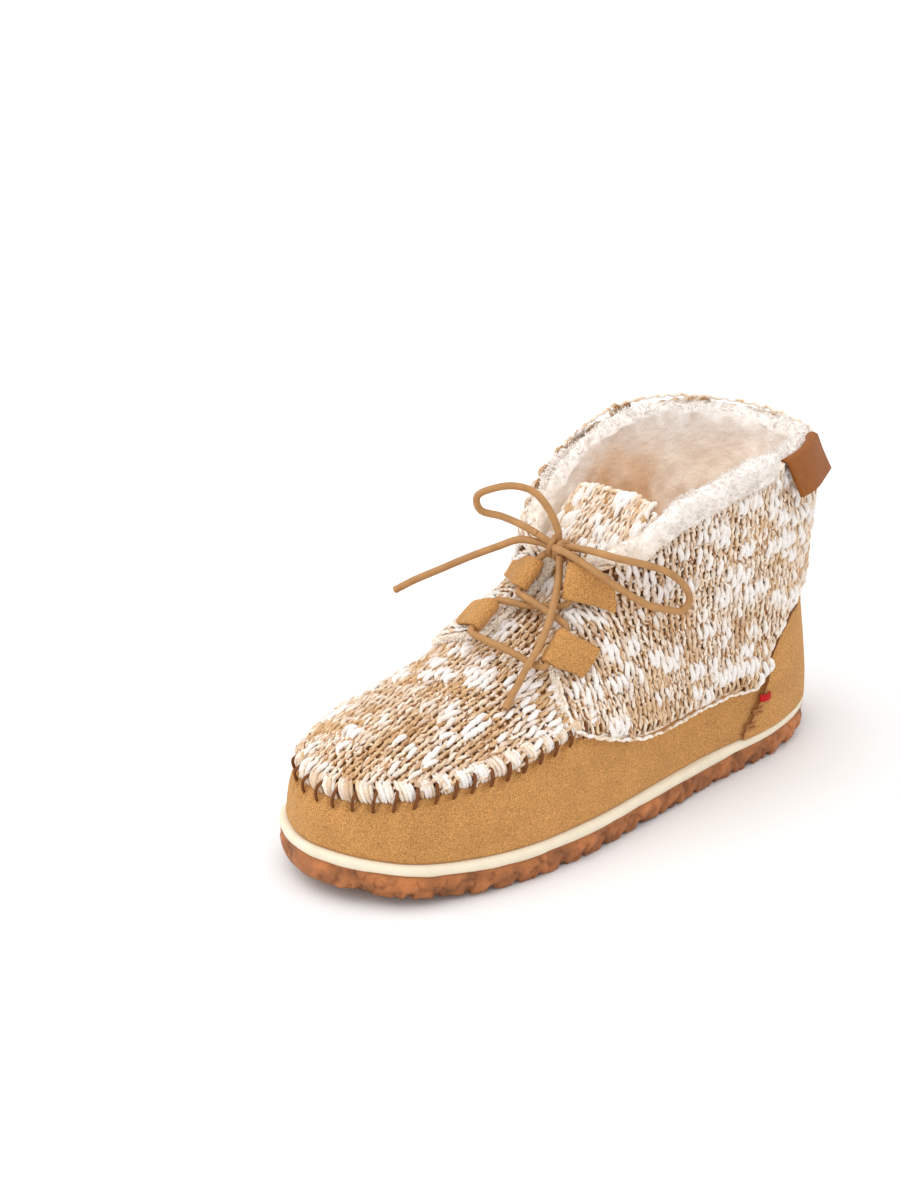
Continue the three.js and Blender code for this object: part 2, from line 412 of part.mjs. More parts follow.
const laceRun = tube([
  { x: 137.4, y: 1.7, z: 111.3 }, { x: 139.4, y: 0.4, z: 110 }, ...through(MU, false).slice(1), between(MU.beyondLow, LL.beyondHigh, 0.3, 0.5), ...through(LL, false), between(LL.beyondLow, ML.beyondLow, 0.5, -0.8),
  ...through(ML, true), between(ML.beyondHigh, LU.beyondLow, 0.42, -2.3), ...through(LU, true).slice(0, -1), { x: 136.7, y: 18.1, z: 115.3 }, { x: 136.3, y: 14.8, z: 114.6 }, { x: 134.8, y: 11.6, z: 113 },
], 84);
const knot = new THREE.SphereGeometry(1, 12, 8);
knot.scale(4.2, 4.4, 3.6);

// ---------------------------------------------------------------- collar tag
// folded strip sewn into the collar's edge, standing off the knit at its lower edge
const tagOuter = [], tagInner = [];
for (let i = 0; i <= 8; i++) {
  const a = mix(99, 147, i / 8), co = [], ci = [];
  const rim = proud(reach(a, sightFor(a, () => collarZ(a) - 0.5)), KNIT + 0.5), n = normalOf(rim).setZ(0).normalize();
  for (let j = 0; j <= 4; j++) {
    const t = j / 4, q = rim.clone().addScaledVector(n, 0.4 + 5 * t ** 1.3);
    q.z -= 14 * t;
    co.push(q.clone().addScaledVector(n, 2.2)); ci.push(q);
  }
  tagOuter.push(co); tagInner.push(ci);
}
const tag = sheet(tagOuter, tagInner);

// ---------------------------------------------------------------- assembly
const material = (color, roughness) => new THREE.MeshStandardMaterial({ color, roughness, metalness: 0 });
const gum = material(0xa8653e, 0.7), cream = material(0xe9dec8, 0.6), knit = material(0xd9b58e, 0.95), suede = material(0xc28d4e, 0.95);
const fleece = material(0xeee3d5, 1), cord = material(0xb07f4c, 0.6), leather = material(0x84481f, 0.5);
const bootie = new THREE.Group();
function add(name, geometry, mat) {
  const mesh = new THREE.Mesh(geometry, mat);
  mesh.name = name;
  bootie.add(mesh);
  return mesh;
}
add('outsole', geometryOf(outsole), gum);
add('midsole', midsole, cream);
add('insole', insole, fleece);
add('upper', geometryOf(upper), knit);
add('tongue', tongue, knit);
add('heel_counter', counter, suede);
for (const tab of tabs) { const mesh = add(tab.name, tab.geometry, suede); tab.matrix.decompose(mesh.position, mesh.quaternion, mesh.scale); }
add('collar_tag', tag, leather);
add('lace_run', laceRun, cord);
// the box of everything but the free lace sets the origin
bootie.updateMatrixWorld(true);
const box = new THREE.Box3();
for (const mesh of bootie.children) box.expandByObject(mesh, true);
add('lace_knot', knot, cord).position.copy(KNOT);
add('lace_bow_medial', tube(BOW_MEDIAL, 16), cord);
add('lace_bow_lateral', tube(BOW_LATERAL, 22), cord);
add('lace_end_front', tube(END_FRONT, 14), cord);
add('lace_end_medial', tube(END_MEDIAL, 12), cord);
bootie.position.set(-(box.min.x + box.max.x) / 2, -(box.min.y + box.max.y) / 2, -box.min.z);
bootie.updateMatrixWorld(true);
export default bootie;
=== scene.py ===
"""Looks of the slipper bootie around its CAD frame. Sizes in millimetres until a mesh is made."""
import math
import bpy
import numpy as np
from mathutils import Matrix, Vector


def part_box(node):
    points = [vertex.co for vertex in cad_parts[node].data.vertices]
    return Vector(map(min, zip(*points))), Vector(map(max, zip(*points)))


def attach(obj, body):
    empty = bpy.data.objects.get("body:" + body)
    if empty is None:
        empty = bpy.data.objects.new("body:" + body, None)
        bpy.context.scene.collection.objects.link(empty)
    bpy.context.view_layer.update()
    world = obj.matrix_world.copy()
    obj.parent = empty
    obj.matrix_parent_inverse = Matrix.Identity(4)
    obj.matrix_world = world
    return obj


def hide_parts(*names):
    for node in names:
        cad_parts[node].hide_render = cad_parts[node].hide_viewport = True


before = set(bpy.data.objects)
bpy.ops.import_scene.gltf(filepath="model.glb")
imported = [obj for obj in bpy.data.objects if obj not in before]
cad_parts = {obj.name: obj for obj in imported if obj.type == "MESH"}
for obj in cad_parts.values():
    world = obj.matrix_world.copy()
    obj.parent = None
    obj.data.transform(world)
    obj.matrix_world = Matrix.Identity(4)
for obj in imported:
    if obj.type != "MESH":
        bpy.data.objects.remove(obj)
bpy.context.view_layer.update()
rng = np.random.default_rng(11)

# ------------------------------------------------------------------ sizes
LENGTH, WELT_TOP, GAP = 262.0, 14.9, 0.3
SPRING, SPRING_FROM = 8.0, 173.0
INSET, KNIT, FLAP = 3.2, 3.2, 6.5
C = np.array([55.0, 0.0, 30.0])
SOLE = np.array([(0, -.5), (9.5, 22), (36, 35.9), (75, 40.2), (112, 45.2), (160, 51.2), (205, 48.2), (243, 33.5), (262, -1.5), (248, -33), (218, -45.5),
                 (180, -50), (145, -44.3), (105, -37.4), (70, -34.9), (35, -33.8), (9.5, -22.5)], float)
RIDGE = np.array([(0, 38), (25, 50), (50, 78), (72, 112), (84, 132), (94, 128.2), (100, 123), (106, 118), (120, 107), (135, 96), (150, 86.8), (165, 79.4), (185, 71.6),
                  (205, 65.6), (225, 60.2), (245, 54.6), (262, 50)], float)
SQUARE = np.array([(0, 2.2), (90, 1.9), (150, 1.9), (185, 2.15), (215, 2.35), (262, 2.4)], float)
# z, back, mid, front, lateral, medial, front squareness
SHAFT = np.array([(10, 5.4, 66, 128, 34.6, 32.4, 2.2), (30, 4.4, 62, 133, 35.6, 33.6, 2.2), (60, 7.6, 58, 136, 34.4, 33.4, 2.25), (85, 8.2, 58, 136, 36, 35.2, 2.3),
                  (110, 6.4, 59, 128, 38.2, 37.6, 2.55), (145, 3.2, 60, 115, 40.4, 39.8, 3.1)], float)
COLLAR = np.array([(0, 127), (30, 127), (42, 129.5), (55, 133.5), (70, 137), (92, 138), (120, 136.5), (150, 132.5), (180, 130.5)], float)
QUARTER = np.array([(21.1, 11.7), (24, 9.8), (28, 7.8), (31.6, 6.4), (35.9, 6.3), (48, 9.6), (68.7, 12.6), (90, 10.6), (103, 12.6), (107.4, 24.6), (118, 33.6), (131.5, 39.2), (147, 37.4), (180, 35.6)], float)
# sight angle, lateral edge, medial edge
FLAP_EDGE = np.array([(11.7, 21.1, 20.5), (18, 17.2, 12.5), (24.4, 12.8, 1.9), (31.8, 12.2, 1.5), (37.6, 9.6, 0.8), (44, 8.75, 0.8), (45.4, 9.3, 3.5), (47.6, 13.2, 11.7), (50.1, 19.1, 18.1), (53, 26.4, 25.4), (57, 32.5, 32), (60.2, 38.6, 38.4), (62, 43.3, 43.3)], float)
COUNTER_TOP = np.array([(80.5, 18), (86, 21.5), (96, 30.7), (103, 37), (107.4, 45.6), (118, 54), (131.5, 61), (147, 62), (180, 62.5)], float)
SEAM_Z = np.array([(140, 54), (150, 52.5), (165, 50), (190, 47), (220, 45.5), (240, 44.5), (252, 43.5)], float)

lo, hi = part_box("outsole")


# ------------------------------------------------------------------ the upper's form
def table(t, x, col=1):
    xs, ys = t[:, 0], t[:, col]
    d = np.diff(ys) / np.diff(xs)
    h = np.diff(xs)
    m = np.empty(len(xs))
    m[1:-1] = (d[:-1] * h[1:] + d[1:] * h[:-1]) / (xs[2:] - xs[:-2])
    m[0], m[-1] = d[0], d[-1]
    x = np.clip(x, xs[0], xs[-1])
    i = np.clip(np.searchsorted(xs, x, side="right") - 1, 0, len(xs) - 2)
    hh = xs[i + 1] - xs[i]
    t_ = (x - xs[i]) / hh
    return (2 * t_**3 - 3 * t_ * t_ + 1) * ys[i] + (t_**3 - 2 * t_ * t_ + t_) * hh * m[i] + (-2 * t_**3 + 3 * t_ * t_) * ys[i + 1] + (t_**3 - t_ * t_) * hh * m[i + 1]


def line(t, x, col=1):
    return np.interp(x, t[:, 0], t[:, col])


def ease(a, b, x):
    t = np.clip((x - a) / (b - a), 0, 1)
    return t * t * (3 - 2 * t)


def mix(a, b, t):
    return a + (b - a) * t


def spring(x):
    return SPRING * np.clip((x - SPRING_FROM) / (LENGTH - SPRING_FROM), 0, None) ** 2


def closed_curve(P, per=24):
    n, out = len(P), []
    for i in range(n):
        p0, p1, p2, p3 = P[i - 1], P[i], P[(i + 1) % n], P[(i + 2) % n]
        d0, d1, d2 = (np.sum((b - a) ** 2) ** .25 for a, b in ((p0, p1), (p1, p2), (p2, p3)))
        t1 = ((p1 - p0) / d0 - (p2 - p0) / (d0 + d1) + (p2 - p1) / d1) * d1
        t2 = ((p2 - p1) / d1 - (p3 - p1) / (d1 + d2) + (p3 - p2) / d2) * d1
        for k in range(per):
            t = k / per
            out.append(p1 + t1 * t + (-3 * p1 + 3 * p2 - 2 * t1 - t2) * t * t + (2 * p1 - 2 * p2 + t1 + t2) * t**3)
    return np.array(out)


OUT = closed_curve(SOLE)
OFF = np.array([0.08 - lo[0] * 1000, (OUT[:, 1].max() + OUT[:, 1].min()) / 2 - (lo[1] + hi[1]) * 500, 0.0])


class Sides:
    """The sole's outline at an inset, as outer and inner side over x."""

    def __init__(self, inset):
        t = np.roll(OUT, -1, 0) - np.roll(OUT, 1, 0)
        t /= np.linalg.norm(t, axis=1)[:, None]
        n = np.stack([t[:, 1], -t[:, 0]], 1)
        if ((OUT - OUT.mean(0)) * n).sum() < 0:
            n = -n
        loop = OUT - n * inset
        i0, i1, m = loop[:, 0].argmin(), loop[:, 0].argmax(), len(loop)
        a = np.array([loop[(i0 + k) % m] for k in range((i1 - i0) % m + 1)])
        b = np.array([loop[(i0 - k) % m] for k in range((i0 - i1) % m + 1)])
        self.l, self.m = (a, b) if a[:, 1].mean() > b[:, 1].mean() else (b, a)
        self.heel, self.toe, self.tip = loop[i0, 0], loop[i1, 0], loop[i1, 1]

    def lateral(self, x):
        return np.interp(x, self.l[:, 0], self.l[:, 1])

    def medial(self, x):
        return np.interp(x, self.m[:, 0], self.m[:, 1])


F = Sides(INSET)


def feather_z(x):
    return WELT_TOP + GAP + spring(x)


def ridge_z(x):
    t = np.clip((x - 198) / (F.toe - 198), 0, .99999)
    return feather_z(x) + (table(RIDGE, x) - feather_z(x)) * (1 - t**6) ** .435


def section(x, y):
    yc = F.tip * ease(150, F.toe, x)
    w = np.maximum(np.where(y > yc, F.lateral(x) - yc, yc - F.medial(x)), .3)
    return yc, w, feather_z(x), np.maximum(ridge_z(x) - feather_z(x), .3), table(SQUARE, x)


def vamp(p):
    x, y, z = p[..., 0], p[..., 1], p[..., 2]
    xc = np.clip(x, F.heel + .05, F.toe - .05)
    yc, w, z0, h, n = section(xc, y)
    up = np.maximum(z - z0, 0)
    rho = np.maximum(((np.abs(y - yc) / w) ** n + (up / h) ** n) ** (1 / n), 1e-4)
    d = np.hypot(y - yc, up) * (1 - 1 / rho)
    over = np.abs(x - xc)
    return np.where(over > 0, np.maximum(d, 0) + over, d)


def shaft(p):
    x, y, z = p[..., 0], p[..., 1], p[..., 2]
    back, mid, front, la, me, pw = (table(SHAFT, z, k) for k in range(1, 7))
    A = np.where(x < mid, mid - back, front - mid)
    B = np.where(y > 0, la, me)
    n = np.where(x < mid, 2.3, pw)
    rho = np.maximum(((np.abs(x - mid) / A) ** n + (np.abs(y) / B) ** n) ** (1 / n), 1e-4)
    return np.hypot(x - mid, y) * (1 - 1 / rho)


def form(p, k=7.0):
    a, b = vamp(p), shaft(p)
    h = np.clip(.5 + .5 * (b - a) / k, 0, 1)
    return b * (1 - h) + a * h - k * h * (1 - h)


def unit(v):
    return v / np.maximum(np.linalg.norm(v, axis=-1, keepdims=True), 1e-9)


def normal(p, field=form, e=.6):
    I = np.eye(3) * e
    return unit(np.stack([field(p + I[k]) - field(p - I[k]) for k in range(3)], -1))


def sight(a, e):
    a, e = np.radians(a), np.radians(e)
    a, e = np.broadcast_arrays(a, e)
    return np.stack([np.cos(a) * np.cos(e), np.sin(a) * np.cos(e), np.sin(e)], -1)


def cast(a, e):
    d = sight(a, e)
    r0, r1 = np.full(d.shape[:-1], 2.0), np.full(d.shape[:-1], 262.0)
    for _ in range(26):
        m = (r0 + r1) / 2
        ins = form(C + d * m[..., None]) < 0
        r0, r1 = np.where(ins, m, r0), np.where(ins, r1, m)
    return C + d * ((r0 + r1) / 2)[..., None]


# the form once, on a grid of rays
ES = np.arange(-46, 76.01, .6)
a_ = np.arange(0, 361, 3.0)
ring_ = cast(a_[:, None], ES[None, ::4])
k_ = np.abs(ring_[:, :, 2] - 36).argmin(1)
ring_ = ring_[np.arange(len(a_)), k_]
s_ = np.concatenate([[0], np.cumsum(np.linalg.norm(np.diff(ring_, axis=0), axis=1))])
AS = np.interp(np.linspace(0, s_[-1], 401), s_, a_)
TP = cast(AS[:, None], ES[None, :])
TN = normal(TP)


def bilinear(T, i, j):
    i0 = np.clip(np.floor(i).astype(int), 0, T.shape[0] - 2)
    j0 = np.clip(np.floor(j).astype(int), 0, T.shape[1] - 2)
    u, v = i - i0, j - j0
    if T.ndim == 3:
        u, v = u[..., None], v[..., None]
    return (T[i0, j0] * (1 - u) + T[i0 + 1, j0] * u) * (1 - v) + (T[i0, j0 + 1] * (1 - u) + T[i0 + 1, j0 + 1] * u) * v


def surf(a, e):
    a, e = np.broadcast_arrays(np.asarray(a, float), np.asarray(e, float))
    i = np.interp(a % 360, AS, np.arange(len(AS)))
    j = np.clip((e - ES[0]) / (ES[1] - ES[0]), 0, len(ES) - 1)
    return bilinear(TP, i, j), unit(bilinear(TN, i, j))


def sight_for(a, height):
    a = np.asarray(a, float)
    l, h = np.full(a.shape, -45.0), np.full(a.shape, 74.0)
    for _ in range(22):
        m = (l + h) / 2
        p = surf(a, m)[0]
        up = p[..., 2] < height(p)
        l, h = np.where(up, m, l), np.where(up, h, m)
    return (l + h) / 2


def angles_of(p):
    r = p - C
    return np.degrees(np.arctan2(r[..., 1], r[..., 0])), np.degrees(np.arctan2(r[..., 2], np.hypot(r[..., 0], r[..., 1])))


def fold(a):
    w = np.asarray(a, float) % 360
    return np.where(w > 180, 360 - w, w)


def flap_depth(p):
    return mix(KNIT, FLAP, (1 - ease(18, 42, np.abs(p[..., 1]))) * ease(84, 104, p[..., 0]))


def vamp_top(x, y):
    yc, w, z0, h, n = section(x, y)
    return np.stack([x, y, z0 + h * np.maximum(1 - (np.abs(y - yc) / w) ** n, 0) ** (1 / n)], -1)


# ------------------------------------------------------------------ noise
def hash3(i, j, k, seed):
    n = (i * 374761393 + j * 668265263 + k * 2147483647 + seed * 1274126177) & 0x7FFFFFFF
    n = ((n ^ (n >> 13)) * 1274126177) & 0x7FFFFFFF
    n = ((n ^ (n >> 15)) * 461845907) & 0x7FFFFFFF
    return ((n ^ (n >> 16)) & 0xFFFFFF) / float(0xFFFFFF)


def noise(P, scale, seed=0):
    q = np.asarray(P, float) / scale
    b = np.floor(q).astype(np.int64)
    f = q - b
    f = f * f * (3 - 2 * f)
    out = 0
    for dx in (0, 1):
        for dy in (0, 1):
            for dz in (0, 1):
                w = (f[..., 0] if dx else 1 - f[..., 0]) * (f[..., 1] if dy else 1 - f[..., 1]) * (f[..., 2] if dz else 1 - f[..., 2])
                out = out + w * hash3(b[..., 0] + dx, b[..., 1] + dy, b[..., 2] + dz, seed)
    return out * 2 - 1


def noise2(u, v, scale_u, scale_v, seed=0):
    return noise(np.stack([u / scale_u, v / scale_v, np.zeros_like(u)], -1), 1.0, seed)


# ------------------------------------------------------------------ materials
def material(name, color, rough, sheen=0.0, attr=None, grain=None, spots=None, bump=None, spec=0.3, sss=0.0, sheen_tint=None):
    m = bpy.data.materials.new(name)
    m.use_nodes = True
    nt = m.node_tree
    b = nt.nodes["Principled BSDF"]
    b.inputs["Base Color"].default_value = (*color, 1)
    b.inputs["Roughness"].default_value = rough
    b.inputs["Specular IOR Level"].default_value = spec
    b.inputs["Sheen Weight"].default_value = sheen
    if sheen_tint:
        b.inputs["Sheen Tint"].default_value = (*sheen_tint, 1)
    b.inputs["Sheen Roughness"].default_value = 0.5
    if sss:
        b.inputs["Subsurface Weight"].default_value = sss
        b.inputs["Subsurface Radius"].default_value = (0.008, 0.006, 0.0045)
        b.inputs["Subsurface Scale"].default_value = 1.0
    tex = nt.nodes.new("ShaderNodeTexCoord")
    src = None
    if attr:
        at = nt.nodes.new("ShaderNodeAttribute")
        at.attribute_name = attr
        src = at.outputs["Color"]
    for size, dark, detail in (grain or []):
        n = nt.nodes.new("ShaderNodeTexNoise")
        n.inputs["Scale"].default_value = 1000.0 / size
        n.inputs["Detail"].default_value = detail
        nt.links.new(tex.outputs["Object"], n.inputs["Vector"])
        r = nt.nodes.new("ShaderNodeMapRange")
        r.inputs["From Min"].default_value = 0.3
        r.inputs["From Max"].default_value = 0.7
        r.inputs["To Min"].default_value = 1 - dark
        r.inputs["To Max"].default_value = 1 + dark
        nt.links.new(n.outputs["Fac"], r.inputs["Value"])
        mul = nt.nodes.new("ShaderNodeMix")
        mul.data_type = "RGBA"
        mul.blend_type = "MULTIPLY"
        mul.inputs[0].default_value = 1
        if src is None:
            mul.inputs[6].default_value = (*color, 1)
        else:
            nt.links.new(src, mul.inputs[6])
        nt.links.new(r.outputs["Result"], mul.inputs[7])
        src = mul.outputs[2]
    if src is not None:
        nt.links.new(src, b.inputs["Base Color"])
    last = None
    for size, depth, detail in (bump or []):
        n = nt.nodes.new("ShaderNodeTexNoise")
        n.inputs["Scale"].default_value = 1000.0 / size
        n.inputs["Detail"].default_value = detail
        nt.links.new(tex.outputs["Object"], n.inputs["Vector"])
        bp = nt.nodes.new("ShaderNodeBump")
        bp.inputs["Strength"].default_value = 1
        bp.inputs["Distance"].default_value = depth / 1000
        nt.links.new(n.outputs["Fac"], bp.inputs["Height"])
        if last is not None:
            nt.links.new(last, bp.inputs["Normal"])
        last = bp.outputs["Normal"]
    if last is not None:
        nt.links.new(last, b.inputs["Normal"])
    return m


M_SUEDE = material("suede", (0.50, 0.245, 0.080), 1.0, sheen=0.2, sheen_tint=(1.0, 0.78, 0.5), grain=[(0.55, 0.40, 2), (14, 0.07, 2)], bump=[(0.6, 0.3, 2)], spec=0.1)
M_YARN = material("marled_yarn", (0.7, 0.5, 0.3), 1.0, sheen=0.15, attr="yarn", grain=[(0.7, 0.12, 2)], bump=[(0.5, 0.18, 2)], spec=0.1)
# the knit's ground: a dark brown sheet behind the loops, painted shade for the gaps between the stitches
M_GAP_SHADE = material("knit_ground_gap_shade", (0.27, 0.118, 0.042), 1.0, grain=[(2.0, 0.3, 2)], spec=0.05)
M_FLEECE = material("fleece", (0.92, 0.85, 0.78), 1.0, sheen=0.1, attr="pile", bump=[(4.0, 1.1, 3), (1.2, 0.2, 3)], spec=0.0)
# a faint warm emission on all the fleece: painted light, a glow standing in for light scattered through the pile
fleece_glow_bsdf = M_FLEECE.node_tree.nodes["Principled BSDF"]
fleece_glow_bsdf.inputs["Emission Color"].default_value = (1.0, 0.80, 0.64, 1)
fleece_glow_bsdf.inputs["Emission Strength"].default_value = 0.05
M_WELT = material("welt", (0.80, 0.71, 0.55), 0.55, grain=[(6, 0.04, 2)], bump=[(1.2, 0.06, 2)], spec=0.3)
# the gum's colour is scaled by an attribute of painted relief shade
M_GUM = material("gum_rubber", (0.36, 0.134, 0.045), 0.55, attr="relief_shade", grain=[(6, 0.12, 3), (1.5, 0.08, 2)], bump=[(1.6, 0.3, 3)], spec=0.35)
M_LACE = material("lace", (0.42, 0.212, 0.076), 0.55, grain=[(5, 0.12, 2)], bump=[(0.6, 0.1, 2)], spec=0.35)
M_STITCH = material("stitch", (0.18, 0.060, 0.018), 0.7, spec=0.2)
M_TAN = material("seam_thread", (0.22, 0.085, 0.028), 0.7, spec=0.2)
M_TAG = material("tag_leather", (0.27, 0.085, 0.016), 0.6, grain=[(3, 0.08, 2)], bump=[(0.5, 0.08, 2)], spec=0.15)
M_TACK = material("tack_thread", (0.36, 0.155, 0.052), 0.7, spec=0.2)
M_RED = material("red_thread", (0.50, 0.010, 0.012), 0.6, spec=0.2)


# ------------------------------------------------------------------ meshes
def make(name, V, faces, mat, nodes=(), color=None, attr="yarn", smooth=True):
    V = np.asarray(V, float)
    me = bpy.data.meshes.new(name)
    me.from_pydata(((V - OFF) / 1000).tolist(), [], faces.tolist() if isinstance(faces, np.ndarray) else faces)
    if color is not None:
        at = me.color_attributes.new(attr, "FLOAT_COLOR", "POINT")
        c = np.ones((len(V), 4), np.float32)
        c[:, :3] = color
        at.data.foreach_set("color", c.ravel())
    me.polygons.foreach_set("use_smooth", np.full(len(me.polygons), smooth, bool))
    me.materials.append(mat)
    me.update()
    ob = bpy.data.objects.new(name, me)
    bpy.context.scene.collection.objects.link(ob)
    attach(ob, "root")
    if nodes:
        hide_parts(*nodes)
    return ob


def volume_sign(V, Fc):
    Fc = np.asarray(Fc)
    a, b, c, d = (V[Fc[:, k]] for k in range(4))
    return (np.einsum("ij,ij->i", a, np.cross(b, c)) + np.einsum("ij,ij->i", a, np.cross(c, d))).sum()


def rings(R, cap=True, wrap=False):
    """Quads of closed rings R[i, j] joined along i."""
    n, m = R.shape[:2]
    i = np.arange(n if wrap else n - 1)[:, None]
    j = np.arange(m)[None, :]
    a, b = i * m + j, i * m + (j + 1) % m
    c, d = (i + 1) % n * m + (j + 1) % m, (i + 1) % n * m + j
    Fc = np.stack([a, b, c, d], -1).reshape(-1, 4)
    V = R.reshape(-1, 3)
    flip = volume_sign(V - V.mean(0), Fc) < 0
    if flip:
        Fc = Fc[:, ::-1]
    out = Fc.tolist()
    if cap and not wrap:
        first, last = list(range(m)), list(range((n - 1) * m, n * m))
        out += [first if flip else first[::-1], last[::-1] if flip else last]
    return V, out


def sheet(outer, inner):
    """Closed sheet between grids outer[i, j] and inner[i, j]."""
    ring = np.concatenate([outer, inner[:, ::-1]], 1)
    return rings(ring)


def sheet_rim(outer, inner, h, steps=6, over=None, drop=None):
    """Closed sheet whose top edge (last row) is a round roll, h high at each column."""
    up = unit(outer[:, -1] - outer[:, -2])
    t = np.linspace(0, np.pi, steps + 2)[1:-1]
    roll = outer[:, -1, None] * ((1 + np.cos(t)) / 2)[None, :, None] + inner[:, -1, None] * ((1 - np.cos(t)) / 2)[None, :, None] + up[:, None] * (np.sin(t)[None, :] * h[:, None])[..., None]
    if over is not None:
        side = unit((outer[:, -1] - inner[:, -1]) * np.array([1, 1, 0]))
        roll = roll + side[:, None] * (over[:, None] * (1.5 * np.sin(t) * (1 + np.cos(t)) / 2)[None, :])[..., None]
    if drop is not None:
        roll = roll - up[:, None] * (drop[:, None] * np.exp(-((t - .5) / .42) ** 2)[None, :])[..., None]
    return np.concatenate([outer, roll, inner[:, ::-1]], 1)


def tube(paths, radii, sides=6, up=None):
    """Tubes along paths (list of (n,3)); returns V, quads and per-vertex (path point index, side angle)."""
    Vs, Fs, idx, ang, base, off = [], [], [], [], 0, 0
    th = np.arange(sides) / sides * 2 * np.pi
    for p, r in zip(paths, radii):
        n = len(p)
        t = unit(np.gradient(p, axis=0))
        ref = np.broadcast_to(np.array([0, 0, 1.0]), t.shape) if up is None else up[off:off + n]
        s = np.cross(t, ref)
        bad = np.linalg.norm(s, axis=1) < 1e-3
        s[bad] = np.cross(t[bad], np.array([1.0, 0, 0]))
        s = unit(s)
        q = np.cross(s, t)
        ringp = p[:, None] + (np.cos(th)[None, :, None] * s[:, None] + np.sin(th)[None, :, None] * q[:, None]) * np.asarray(r).reshape(-1, 1, 1)
        Vs.append(ringp.reshape(-1, 3))
        i = np.arange(n - 1)[:, None]
        j = np.arange(sides)[None, :]
        f = np.stack([i * sides + j, i * sides + (j + 1) % sides, (i + 1) * sides + (j + 1) % sides, (i + 1) * sides + j], -1).reshape(-1, 4)
        Fs.append(f[:, ::-1] + base)
        c0, c1 = np.arange(sides) + base, np.arange(sides)[::-1] + base + (n - 1) * sides
        if sides == 6:
            Fs.append(np.array([[c0[0], c0[1], c0[2], c0[3]], [c0[0], c0[3], c0[4], c0[5]], [c1[0], c1[1], c1[2], c1[3]], [c1[0], c1[3], c1[4], c1[5]]]))
        elif sides == 4:
            Fs.append(np.stack([c0, c1]))
        elif sides == 8:
            Fs.append(np.array([[c[0], c[k], c[k + 1], c[k + 2]] for c in (c0, c1) for k in (1, 3, 5)]))
        idx.append(np.repeat(np.arange(n) + off, sides))
        ang.append(np.tile(th, n))
        base += n * sides
        off += n
    return np.concatenate(Vs), np.concatenate(Fs), np.concatenate(idx), np.concatenate(ang)


def smooth_path(P, per=8):
    P = np.asarray(P, float)
    Q = np.concatenate([[2 * P[0] - P[1]], P, [2 * P[-1] - P[-2]]])
    out = []
    for i in range(1, len(Q) - 2):
        p0, p1, p2, p3 = Q[i - 1:i + 3]
        d0, d1, d2 = (max(np.sum((b - a) ** 2) ** .25, 1e-6) for a, b in ((p0, p1), (p1, p2), (p2, p3)))
        t1 = ((p1 - p0) / d0 - (p2 - p0) / (d0 + d1) + (p2 - p1) / d1) * d1
        t2 = ((p2 - p1) / d1 - (p3 - p1) / (d1 + d2) + (p3 - p2) / d2) * d1
        for k in range(per):
            t = k / per
            out.append(p1 + t1 * t + (-3 * p1 + 3 * p2 - 2 * t1 - t2) * t * t + (2 * p1 - 2 * p2 + t1 + t2) * t**3)
    out.append(P[-1])
    return np.array(out)


def respace(P, step):
    s = np.concatenate([[0], np.cumsum(np.linalg.norm(np.diff(P, axis=0), axis=1))])
    n = max(2, int(round(s[-1] / step)) + 1)
    t = np.linspace(0, s[-1], n)
    return np.stack([np.interp(t, s, P[:, k]) for k in range(3)], -1)


# ------------------------------------------------------------------ camera, light and floor
cam = bpy.data.cameras.new("camera")
cam.lens, cam.sensor_width, cam.sensor_fit = 138.72, 36.0, "AUTO"
co = bpy.data.objects.new("camera", cam)
bpy.context.scene.collection.objects.link(co)
AZ, EL, DIST = math.radians(139.5), math.radians(26.39), 1946.2
aim = np.array([114.115, -85.282, 50.0])
back = np.array([math.sin(AZ) * math.cos(EL), -math.cos(AZ) * math.cos(EL), math.sin(EL)])
co.location = Vector((aim + back * DIST - OFF) / 1000)
co.rotation_euler = Vector(-back).to_track_quat("-Z", "Y").to_euler()
cam.clip_start, cam.clip_end = 0.05, 50
bpy.context.scene.camera = co

world = bpy.data.worlds.new("studio")
bpy.context.scene.world = world
world.use_nodes = True
wb = world.node_tree.nodes["Background"]
wb.inputs["Color"].default_value = (1, 1, 1, 1)
wb.inputs["Strength"].default_value = 1.10


sun = bpy.data.lights.new("key", "SUN")
sun.energy, sun.angle = 1.0, math.radians(60)
so = bpy.data.objects.new("key", sun)
ray = unit(np.array([.76, -.649, 0]) * .55 + np.array([0, 0, 1.0]) + back * .25)
so.rotation_euler = Vector(-ray).to_track_quat("-Z", "Y").to_euler()
bpy.context.scene.collection.objects.link(so)
fl = bpy.data.meshes.new("floor")
fl.from_pydata([(-6, -6, 0), (6, -6, 0), (6, 6, 0), (-6, 6, 0)], [], [(0, 1, 2, 3)])
fm = material("floor", (0.88, 0.88, 0.88), 1.0, spec=0.0)
fl.materials.append(fm)
fo = bpy.data.objects.new("floor", fl)
bpy.context.scene.collection.objects.link(fo)
bpy.context.scene.view_settings.view_transform = "Standard"


# ------------------------------------------------------------------ sole
def crinkle(s, z, seed):
    """Broken, faceted rubber side wall."""
    a = noise2(s, z, 6.5, 9.0, seed)
    b = noise2(s + 3 * a, z, 3.0, 4.5, seed + 1)
    c = np.abs(noise2(s, z * 1.3, 4.2, 3.6, seed + 2))
    return 0.8 * a + 0.65 * b - 1.05 * (1 - c) ** 6


def groove(x):
    k = (x - 9) % 11.5
    k = np.minimum(k, 11.5 - k)
    ins = (x > 5) & (x < 258)
    return np.where(ins, 1 - ease(1.0, 2.0, k), 0)


